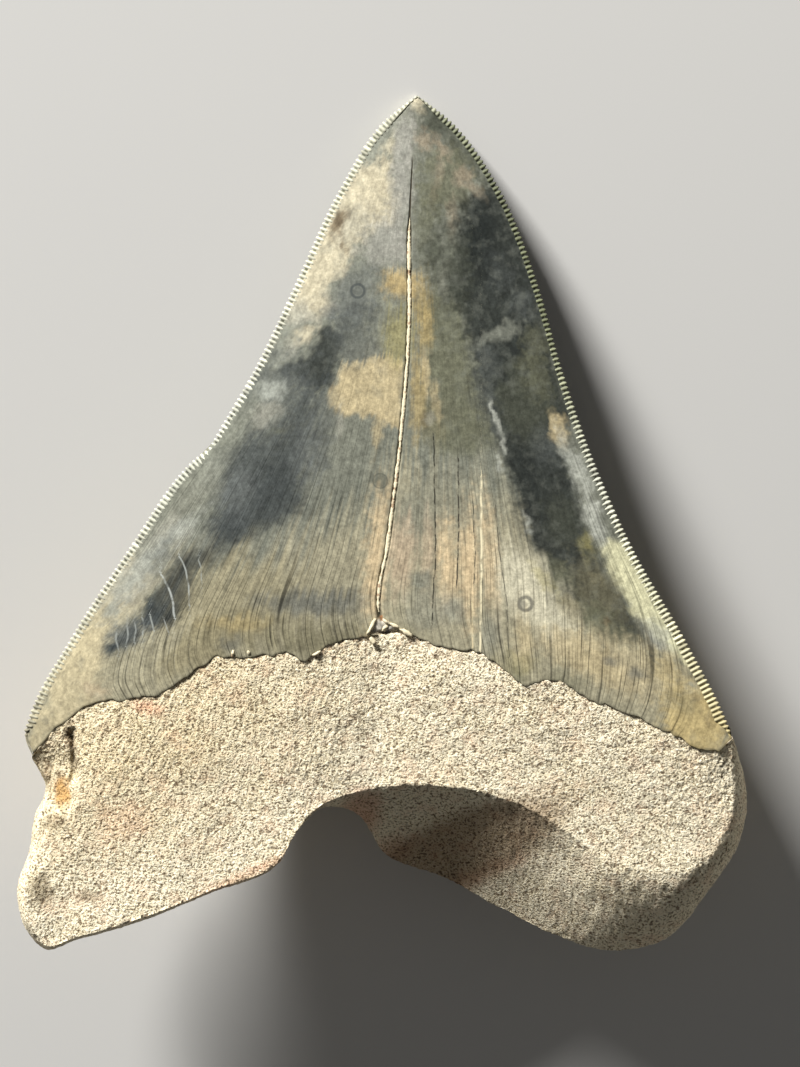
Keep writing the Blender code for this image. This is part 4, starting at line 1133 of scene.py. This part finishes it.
# %% Streaked places
smooth_side = smooth_step(inside_outline(lip[..., :2], DARK_SIDE) / 2.0 + 0.5)
smooth_shoulder = smooth_step(inside_outline(lip[..., :2], LEFT_SHOULDER) / 3.0 + 0.8)
smooth_corner = smooth_step((lip[..., 0] - 44.5) / 2.5)
smooth_middle = np.exp(-(((lip[..., 0] - 6.0) / 8.0) ** 4))
streaks = smooth_step((rows_down - 0.30) / 0.5) * (1.0 + 0.5 * smooth_step((rows_down - 0.8) / 0.15))
for smooth, loss in (
    (smooth_middle, 0.45), (smooth_side, 0.85), (smooth_shoulder, 0.9), (smooth_corner, 0.8),
):
    streaks = streaks * (1.0 - loss * smooth)
set_values(enamel_body.data, "streaked", over_the_body(streaks, 0.0))
print("mean strength of the streaks:", round(float(streaks.mean()), 2))

# %% [markdown]
# ## The floor of the chip
#
# Where the flake came off, the bare dentine is pale and speckled. Its hollow is painted dark as shade,
# its rim broke bright, and iron has touched it with rust in two places.

# %% Colours of the chip
DULL_FLOOR, BRIGHT_FLOOR = linear("#8d877a"), linear("#d2cab8")
HOLLOW_SHADE = linear("#3a2d21")
BRIGHT_RIM, RUST = linear("#cdbf9d"), linear("#b4743f")
# x, y and reach in mm of each touch of rust
RUSTY_PLACES = ((0.3, -14.0, 0.8), (3.8, -16.7, 0.7))

speckle = 0.5 + 0.5 * lumps(lip, 0.8, 5.5) + 0.3 * lumps(lip, 0.4, 2.5)
chip_colour = blend(DULL_FLOOR, BRIGHT_FLOOR, smooth_step(speckle))
# painted shade: the chip's hollow is darkened, broken up by a little noise
chip_colour = blend(chip_colour, HOLLOW_SHADE, smooth_step(chip_hollow + 0.4 * lumps(lip, 1.0, 7.5) - 0.1))
rusty = np.max([
    smooth_step(1.4 - np.hypot(lip[..., 0] - x, lip[..., 1] - y) / reach) for x, y, reach in RUSTY_PLACES
], axis=0)
rim = smooth_step(chip / 0.3) * (1.0 - smooth_step((chip - 0.55) / 0.4))
lip_colour = blend(lip_colour, chip_colour, smooth_step(chip / 0.6))
lip_colour = blend(lip_colour, blend(BRIGHT_RIM, RUST, rusty), 0.9 * rim)
print("share of the lip face in the chip:", round(float((chip > 0.5).mean()), 4))

# %% [markdown]
# ## The stains of the tongue side
#
# The tongue side took up the same minerals in larger clouds. Each is a noise field of its own size, and
# shows where the field is above a level. Colours and places then go onto the meshes.

# %% Stains of the tongue side
# mineral, size in mm, shift of the noise, level, strength
BACK_CLOUDS = (
    ("straw", 15.0, 4.1, 0.0, 0.8), ("smoke", 11.0, 1.3, -0.15, 0.85), ("ivory", 7.0, 6.2, -0.35, 0.5),
    ("slate", 6.0, 9.4, -0.30, 0.8), ("fern", 9.0, 2.6, -0.25, 0.6),
)
BACK_REED_WIDTH = 1.1
BACK_REEDS_DOWN = 8.0

back = tongue * (1, 1, 0)
reeds_across = tongue_across * CROWN_WIDTH / BACK_REED_WIDTH
reeds_down = rows_down * BACK_REEDS_DOWN + 0 * tongue_across
back_reed = lumps(np.stack((reeds_across, reeds_down, 0 * tongue_across), axis=-1), 1.0)
back_colour = np.zeros(tongue.shape) + linear(MINERALS["stone"])
for mineral, size, shift, level, strength in BACK_CLOUDS:
    cloud = lumps(back, size, shift) + 0.35 * lumps(back, size / 4.0, shift) + 0.15 * back_reed + level
    back_colour = blend(back_colour, linear(MINERALS[mineral]), strength * smooth_step(cloud / 0.35))
set_values(enamel_body.data, "stain_and_shade", down_the_skirt(np.concatenate((lip_colour, back_colour), axis=1)))
print("mean colour of the tongue face, linear:", back_colour.mean(axis=(0, 1)).round(3))

# %% [markdown]
# ## Tints in the root
#
# Iron has left a few rusty and pink tints in the bone, and some spots are grey. They multiply the
# sandy colour, so the grain shows through them. The first is a broad pale tint over the left lobe, the
# last a painted shade: a darker brown over the right lobe's slope. Two dark tints along the crease of
# the broken ledge are painted shade too.

# %% Root tints
# colour, centre x and y, half width, half length, lean of the long axis, softness, strength
ROOT_TINTS = (
    ("#ebe6dc", -38, -34, 12, 26, 66, 22, 1), ("#e8a493", -35.4, -27.6, 2.4, 0.9, 10, 1.2, 0.5),
    ("#f0b8a4", -38.9, -45.2, 4, 2.6, 0, 3, 0.25), ("#c79c5c", -48.4, -40.6, 1.3, 2.2, -8, 1, 0.8),
    ("#8c8478", -51.6, -55.4, 1.8, 2.4, 0, 1.4, 0.7), ("#7d7266", -39.9, -30.2, 0.4, 0.8, 0, 0.5, 0.7),
    ("#7d7266", -39.8, -39.4, 0.7, 0.6, 0, 0.5, 0.6), ("#9b9286", -49.6, -45.2, 1.8, 1.2, 0, 1.2, 0.6),
    # the two #6a6156 tints on this line and the next lie in the crease of the broken ledge: painted shade
    ("#8c8478", -44.4, -56.2, 1.6, 0.9, 0, 1.2, 0.6), ("#6a6156", -46.6, -34.6, 0.5, 2.6, -8, 0.7, 0.8),
    ("#6a6156", -47.4, -31.4, 0.8, 1.2, 0, 0.8, 0.7), ("#e7ad98", -20, -52.8, 9, 0.8, -24, 1.2, 0.4),
    ("#c67b5f", -3, -43.6, 2.8, 3.4, 0, 3, 0.5), ("#cf8f74", 1.6, -49.6, 3.6, 2, -20, 3, 0.4),
    # the last tint, #8f745c, is painted shade over the right lobe's slope
    ("#d9a08a", 12, -55, 9, 1.2, -24, 2, 0.45), ("#8f745c", 12.4, -49.4, 5.4, 17, 66, 3, 0.65),
)


def root_tint(places):
    """White, with each tint mixed in over its soft oval."""
    bend = 0.5 * lumps(places, 1.4, 6.6) + 0.3 * lumps(places, 0.6, 2.6)
    bent = places[..., :2] + bend[..., None]
    tint = np.ones(places.shape)
    for code, *oval, softness, strength in ROOT_TINTS:
        tint = blend(tint, linear(code), strength * smooth_step(inside_oval(bent, *oval) / softness + 0.5))
    return tint


tints = root_tint(gritty_root)
set_values(root.data, "tint", tints)
print("mean tint of the root, linear:", tints.mean(axis=(0, 1)).round(3))

# %% [markdown]
# ## Materials
#
# One small function adds any node, sets its properties and sets or links its inputs. A second one opens
# a material with its roughness and its reflection, which are single numbers on the shader.

# %% Node helper
def add(tree, kind, inputs=(), out=0, **settings):
    """Add a node, set its properties, set or link its inputs, and give back one of its outputs."""
    node = tree.nodes.new("ShaderNode" + kind)
    for label, value in settings.items():
        setattr(node, label, value)
    for socket, value in dict(inputs).items():
        if isinstance(value, bpy.types.NodeSocket):
            tree.links.new(value, node.inputs[socket])
        else:
            node.inputs[socket].default_value = value
    return node.outputs[out]


def new_material(name, roughness, reflection=0.5):
    """A material with its node tree and its shader."""
    material = bpy.data.materials.new(name)
    material.use_nodes = True
    shader = material.node_tree.nodes["Principled BSDF"]
    shader.inputs["Roughness"].default_value = roughness
    shader.inputs["Specular IOR Level"].default_value = reflection
    return material, material.node_tree, shader


def ink(code):
    """A hex colour as a shader's four numbers."""
    return (*linear(code), 1.0)


# %% [markdown]
# ## Enamel
#
# Fossil enamel is apatite, nearly as hard as glass, but sand has worn it silky. The eye gets deep colour
# under a faint sheen, so the roughness is high and the reflection low: a stronger one would bleach the
# dark crown wherever it is seen from low at the side. The stains come with the mesh. The finest streaks
# are noise read on the fibre places, which squeezes it sideways and draws it out along the tooth.

# %% Enamel and its streaks
# stretch of the fibre place, octaves, roughness of the noise, tone where it is dark, where it is light
STREAKS = (((2.1, 0.07, 0.0), 3.0, 0.6, 0.90, 1.10), ((0.95, 0.075, 0.0), 2.0, 0.55, 0.86, 1.14))

enamel, tree, shader = new_material("fossil enamel, worn silky", 0.68, 0.05)
fibre_place, place, stain_and_shade = (
    add(tree, "Attribute", out="Vector", attribute_name=label) for label in ("fibre", "drawing", "stain_and_shade")
)
streaked = add(tree, "Attribute", out="Fac", attribute_name="streaked")
tone = 1.0
threads = []
for stretch, octaves, roughness, dark, light in STREAKS:
    stretched = add(tree, "VectorMath", {0: fibre_place, 1: stretch}, operation="MULTIPLY")
    look = {"Vector": stretched, "Scale": 1.0, "Detail": octaves, "Roughness": roughness}
    threads.append(add(tree, "TexNoise", look))
    thread_tone = add(tree, "MapRange", {0: threads[-1], 1: 0.30, 2: 0.70, 3: dark, 4: light})
    tone = add(tree, "Math", {0: tone, 1: thread_tone}, operation="MULTIPLY")
tone = add(tree, "Mix", {0: streaked, 2: 1.0, 3: tone})
bump = add(tree, "Bump", {"Height": threads[0], "Strength": 1.0, "Distance": 0.03 * MM})
tree.links.new(bump, shader.inputs["Normal"])
enamel_body.data.materials.append(enamel)

# %% [markdown]
# ## Furrows
#
# Fine furrows run down the crown, half a millimetre to a millimetre apart, dark where dirt has stayed in
# them. The sideways place, counted in spacings and drifted by noise, is folded at every whole number:
# that is the distance from the nearest furrow. A second noise lets each furrow come and go.

# %% Furrows
# mm from furrow to furrow, how far they drift in spacings, tone in the furrow
FURROWS = ((0.85, 2.6, 0.56), (0.47, 2.2, 0.74))

lane = add(tree, "SeparateXYZ", {0: fibre_place}, out="X")
for spacing, drift, darkest in FURROWS:
    wandering, fading = (
        add(tree, "TexNoise", {"Scale": 1.0, "Detail": octaves, "Vector": add(
            tree, "VectorMath", {0: fibre_place, 1: (across / spacing, ahead / spacing, 0.0)},
            operation="MULTIPLY",
        )})
        for across, ahead, octaves in ((0.64, 0.03, 1.0), (1.1, 0.11, 2.0))
    )
    number = add(tree, "Math", {0: lane, 1: 1.0 / spacing}, operation="MULTIPLY")
    number = add(tree, "Math", {0: wandering, 1: drift, 2: number}, operation="MULTIPLY_ADD")
    from_line = add(tree, "Math", {0: number, 1: 0.5}, operation="PINGPONG")
    line = add(tree, "MapRange", {0: from_line, 1: 0.03, 2: 0.16, 3: 1.0, 4: 0.0})
    fading = add(tree, "MapRange", {0: fading, 1: 0.40, 2: 0.58})
    for share in (fading, streaked):
        line = add(tree, "Math", {0: line, 1: share}, operation="MULTIPLY")
    furrow_tone = add(tree, "MapRange", {0: line, 3: 1.0, 4: darkest}, clamp=False)
    tone = add(tree, "Math", {0: tone, 1: furrow_tone}, operation="MULTIPLY")

# %% [markdown]
# ## Frost and haze
#
# Old enamel has a finely clouded, frosted tone, coarser and finer than a millimetre. Where it isn't
# streaked, a thin greenish grey haze lies over it as well.

# %% Frost and haze
# stretch of the place, scale per mm, octaves, roughness, distortion, range of the noise, range of the tone
FROSTS = (
    ((1.4, 0.8, 0.0), 0.9, 4.0, 0.6, 0.3, 0.25, 0.75, 0.74, 1.26),
    ((1.0, 1.0, 1.0), 2.3, 2.0, 0.7, 0.0, 0.32, 0.68, 0.82, 1.20),
)

for stretch, scale, octaves, roughness, distortion, low, high, dark, light in FROSTS:
    stretched = add(tree, "VectorMath", {0: place, 1: stretch}, operation="MULTIPLY")
    look = {"Scale": scale, "Detail": octaves, "Roughness": roughness, "Distortion": distortion}
    frost = add(tree, "TexNoise", {"Vector": stretched, **look})
    frost = add(tree, "MapRange", {0: frost, 1: low, 2: high, 3: dark, 4: light})
    tone = add(tree, "Math", {0: tone, 1: frost}, operation="MULTIPLY")
base = add(tree, "VectorMath", {0: stain_and_shade, "Scale": tone}, operation="SCALE")
haze = add(tree, "TexNoise", {"Vector": place, "Scale": 0.5, "Detail": 5.0, "Roughness": 0.6})
haze = add(tree, "MapRange", {0: haze, 1: 0.50, 2: 0.72, 3: 0.0, 4: 0.28})
smooth = add(tree, "Math", {0: 1.0, 1: streaked}, operation="SUBTRACT", use_clamp=True)
haze = add(tree, "Math", {0: haze, 1: smooth}, operation="MULTIPLY")
base = add(tree, "Mix", {0: haze, 6: base, 7: ink("#7b7d72")}, out=2, data_type="RGBA")

# %% [markdown]
# ## Drawing the lines
#
# Every crack and scratch is drawn where its distance is near zero, and one noise field breaks them all
# into stretches. A few small ring marks are drawn the same way: their distance is the distance from the
# centre, less the radius. The floor of the split is painted dark.

# %% Lines, rings and split
# centre x and y, radius, width of the line, colour, strength
RINGS = (
    (-3.6, 35.4, 1.0, 0.24, "#3c403f", 0.75), (-3.6, 35.4, 0.5, 0.12, "#50534f", 0.35),
    (-0.2, 6.6, 0.4, 0.9, "#4f5148", 0.5), (-0.2, 6.6, 1.1, 0.14, "#4a4b43", 0.5),
    (21.8, -12.0, 1.0, 0.34, "#4c4b45", 0.7), (21.4, -12.1, 0.2, 0.5, "#6a685f", 0.5),
)

breaks = add(tree, "TexNoise", {"Vector": place, "Scale": 0.9, "Detail": 3.0})
breaks = add(tree, "MapRange", {0: breaks, 1: 0.38, 2: 0.52, 3: 0.25, 4: 1.0})
for index, (width, code, share, _) in enumerate(LINES):
    if index % 3 == 0:
        trio = add(tree, "Attribute", out="Vector", attribute_name=f"lines_{index // 3}")
    away = add(tree, "SeparateXYZ", {0: trio}, out=index % 3)
    away = add(tree, "Math", {0: away}, operation="ABSOLUTE")
    line = add(tree, "MapRange", {0: away, 1: 0.35 * width, 2: 1.5 * width, 3: share, 4: 0.0})
    line = add(tree, "Math", {0: line, 1: breaks}, operation="MULTIPLY")
    base = add(tree, "Mix", {0: line, 6: base, 7: ink(code)}, out=2, data_type="RGBA")
flat_place = add(tree, "VectorMath", {0: place, 1: (1.0, 1.0, 0.0)}, operation="MULTIPLY")
for x, y, radius, width, code, share in RINGS:
    away = add(tree, "VectorMath", {0: flat_place, 1: (x, y, 0.0)}, out="Value", operation="DISTANCE")
    away = add(tree, "Math", {0: away, 1: radius}, operation="SUBTRACT")
    away = add(tree, "Math", {0: away}, operation="ABSOLUTE")
    ring = add(tree, "MapRange", {0: away, 1: 0.4 * width, 2: 1.2 * width, 3: share, 4: 0.0})
    base = add(tree, "Mix", {0: ring, 6: base, 7: ink(code)}, out=2, data_type="RGBA")
split_share = add(tree, "Attribute", out="Fac", attribute_name="split")
# the split's floor painted dark
base = add(tree, "Mix", {0: split_share, 6: base, 7: ink("#3b372c")}, out=2, data_type="RGBA")
tree.links.new(base, shader.inputs["Base Color"])
print("nodes in the enamel:", len(tree.nodes))

# %% [markdown]
# ## Serrations
#
# The same enamel, thinner over the ribs: their crests are worn pale and the gaps are dark with dirt
# and painted shade. That colour is already on the mesh, so the material only passes it on.

# %% Serration material
ribbed, tree, shader = new_material("fossil enamel, ribbed edge", 0.65, 0.1)
rib_colour = add(tree, "Attribute", out="Vector", attribute_name="stain_and_shade")
tree.links.new(rib_colour, shader.inputs["Base Color"])
for piece in (left_ribs, right_ribs):
    piece.data.materials.append(ribbed)

# %% [markdown]
# ## Filling and crumbs
#
# Carbonate left by ground water is chalky and matt, with brown specks of soil about a millimetre apart.

# %% Carbonate material
chalk, tree, shader = new_material("carbonate filling", 0.8)
coordinates = add(tree, "TexCoord", out="Object")
specks = add(tree, "TexNoise", {"Vector": coordinates, "Scale": 1.1 / MM, "Detail": 2.0})
specks = add(tree, "MapRange", {0: specks, 1: 0.56, 2: 0.66, 3: 0.0, 4: 0.75})
chalky = add(tree, "Mix", {0: specks, 6: ink("#ccc0a0"), 7: ink("#7c5a3c")}, out=2, data_type="RGBA")
tree.links.new(chalky, shader.inputs["Base Color"])
for piece in (filling, *crumbs_of_calcite):
    piece.data.materials.append(chalk)

# %% [markdown]
# ## Root
#
# Fossil bone, worn porous, is dry and gritty like sandstone, with no shine at all. Its sand colour is
# laid over in turn by a paler cloud, dark and light grains, a blush of iron, dark specks and painted
# shade in the pits, each where a noise field or the grain of the mesh is in a certain range. The dark
# and light grains are the bone's own, but their noise is also the bump, so they add painted shade in
# the bump's hollows and painted highlight on its crests.

# %% Root material
# noise scale per mm, octaves, roughness
BONE_NOISES = {
    "clouds": (0.16, 3.0, 0.55), "grains": (2.8, 2.0, 0.65), "blush": (0.32, 4.0, 0.65),
    "specks": (1.5, 1.0, 0.5),
}
# field, its range, strength at both ends of the range, colour
BONE_LAYERS = (
    # the two grains layers: the bone's own dark and light grains, and painted shade and highlight, as their
    # noise is the bump
    ("clouds", 0.35, 0.65, 0.0, 1.0, "#ebdfc0"), ("grains", 0.38, 0.45, 1.0, 0.0, "#7a6b53"),
    ("grains", 0.52, 0.60, 0.0, 1.0, "#f5ebd0"), ("blush", 0.50, 0.68, 0.0, 0.40, "#dcb996"),
    ("specks", 0.62, 0.68, 0.0, 0.75, "#6b563f"), ("painted_pit_shade", -0.28, -0.06, 0.7, 0.0, "#6d6150"),
# the last layer is painted shade, darker where the mesh's grain sinks in
)

bone, tree, shader = new_material("fossil bone, sandy", 0.9, 0.2)
place = add(tree, "Attribute", out="Vector", attribute_name="drawing")
fields = {"painted_pit_shade": add(tree, "Attribute", out="Fac", attribute_name="grain")}
for label, (scale, octaves, roughness) in BONE_NOISES.items():
    look = {"Vector": place, "Scale": scale, "Detail": octaves, "Roughness": roughness}
    fields[label] = add(tree, "TexNoise", look)
sandy = ink("#e3d4b1")
for label, low, high, at_low, at_high, code in BONE_LAYERS:
    share = add(tree, "MapRange", {0: fields[label], 1: low, 2: high, 3: at_low, 4: at_high})
    sandy = add(tree, "Mix", {0: share, 6: sandy, 7: ink(code)}, out=2, data_type="RGBA")
tint = add(tree, "Attribute", out="Vector", attribute_name="tint")
sandy = add(tree, "VectorMath", {0: sandy, 1: tint}, operation="MULTIPLY")
tree.links.new(sandy, shader.inputs["Base Color"])
bump = add(tree, "Bump", {"Height": fields["grains"], "Strength": 1.0, "Distance": 0.3 * MM})
tree.links.new(bump, shader.inputs["Normal"])
root.data.materials.append(bone)

# %% [markdown]
# ## The floor
#
# A sheet of pale matt paper shows by its soft shadow that the tooth lies down. It isn't part of the
# tooth, and it lies a hair below the table's height so that the two never share a plane.

# %% Floor
FLOOR_REACH = 1.5
FLOOR_DROP = 0.00002

floor_mesh = bpy.data.meshes.new("floor")
corner_signs = ((-1, -1), (1, -1), (1, 1), (-1, 1))
floor_corners = [(x * FLOOR_REACH, y * FLOOR_REACH, -FLOOR_DROP) for x, y in corner_signs]
floor_mesh.from_pydata(floor_corners, [], [(0, 1, 2, 3)])
floor = bpy.data.objects.new("floor", floor_mesh)
bpy.context.scene.collection.objects.link(floor)
paper, tree, shader = new_material("pale paper", 0.9, 0.1)
shader.inputs["Base Color"].default_value = ink("#cfcdc8")
floor_mesh.materials.append(paper)

# %% [markdown]
# ## The camera
#
# The camera looks square onto the drawing, from far enough away that the lobes don't look larger than
# they are. The lens follows from the height that has to fit the picture: focal length = sensor height
# times distance over view height.

# %% Camera
AIM = Vector(lay_down((2.80, -1.36, 0.0)))
CAMERA_DISTANCE = 1.5
VIEW_HEIGHT_MM = 161.7
SENSOR_HEIGHT_MM = 36.0


def tilted(x, y, z):
    """A direction of the drawing, in the frame."""
    cosine, sine = math.cos(REST_TURN), math.sin(REST_TURN)
    return Vector((x, y * cosine + z * sine, z * cosine - y * sine))


camera_data = bpy.data.cameras.new("camera")
camera_data.sensor_fit = "VERTICAL"
camera_data.sensor_height = SENSOR_HEIGHT_MM
camera_data.lens = SENSOR_HEIGHT_MM * CAMERA_DISTANCE / (VIEW_HEIGHT_MM * MM)
camera = bpy.data.objects.new("camera", camera_data)
camera.location = AIM + tilted(0, 0, 1) * CAMERA_DISTANCE
camera.rotation_euler = (-REST_TURN, 0.0, 0.0)
bpy.context.scene.collection.objects.link(camera)
bpy.context.scene.camera = camera
print("lens, mm:", round(camera_data.lens, 1))

# %% [markdown]
# ## The light
#
# One soft light from beyond the tip and to the left brings out the low arch of the crown and the
# grit of the root. Weak even light all round keeps the shadows open. The plain view transform shows the
# hex colours as they are written.

# %% Light
KEY_DIRECTION = (-0.50, 0.72, 0.50)
KEY_DISTANCE = 2.2
KEY_SIZE = 0.6
KEY_POWER = 137.0
AMBIENT_STRENGTH = 0.11

key_data = bpy.data.lights.new("key", "AREA")
key_data.size = KEY_SIZE
key_data.energy = KEY_POWER
key = bpy.data.objects.new("key", key_data)
key.location = AIM + tilted(*KEY_DIRECTION).normalized() * KEY_DISTANCE
key.rotation_euler = (key.location - AIM).to_track_quat("Z", "Y").to_euler()
bpy.context.scene.collection.objects.link(key)
world = bpy.data.worlds.new("studio")
world.use_nodes = True
backdrop = world.node_tree.nodes["Background"]
backdrop.inputs["Color"].default_value = (1.0, 1.0, 1.0, 1.0)
backdrop.inputs["Strength"].default_value = AMBIENT_STRENGTH
bpy.context.scene.world = world
bpy.context.scene.view_settings.view_transform = "Standard"

# %% [markdown]
# ## Handing the pieces to the frame
#
# The tooth grew as one piece, so all its surfaces ride on the frame's one body and stand in for its one
# node. The floor is stage.

# %% Hand the pieces to the frame
for piece in (enamel_body, left_ribs, right_ribs, filling, *crumbs_of_calcite, root):
    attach(piece, "root")
    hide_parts("tooth")
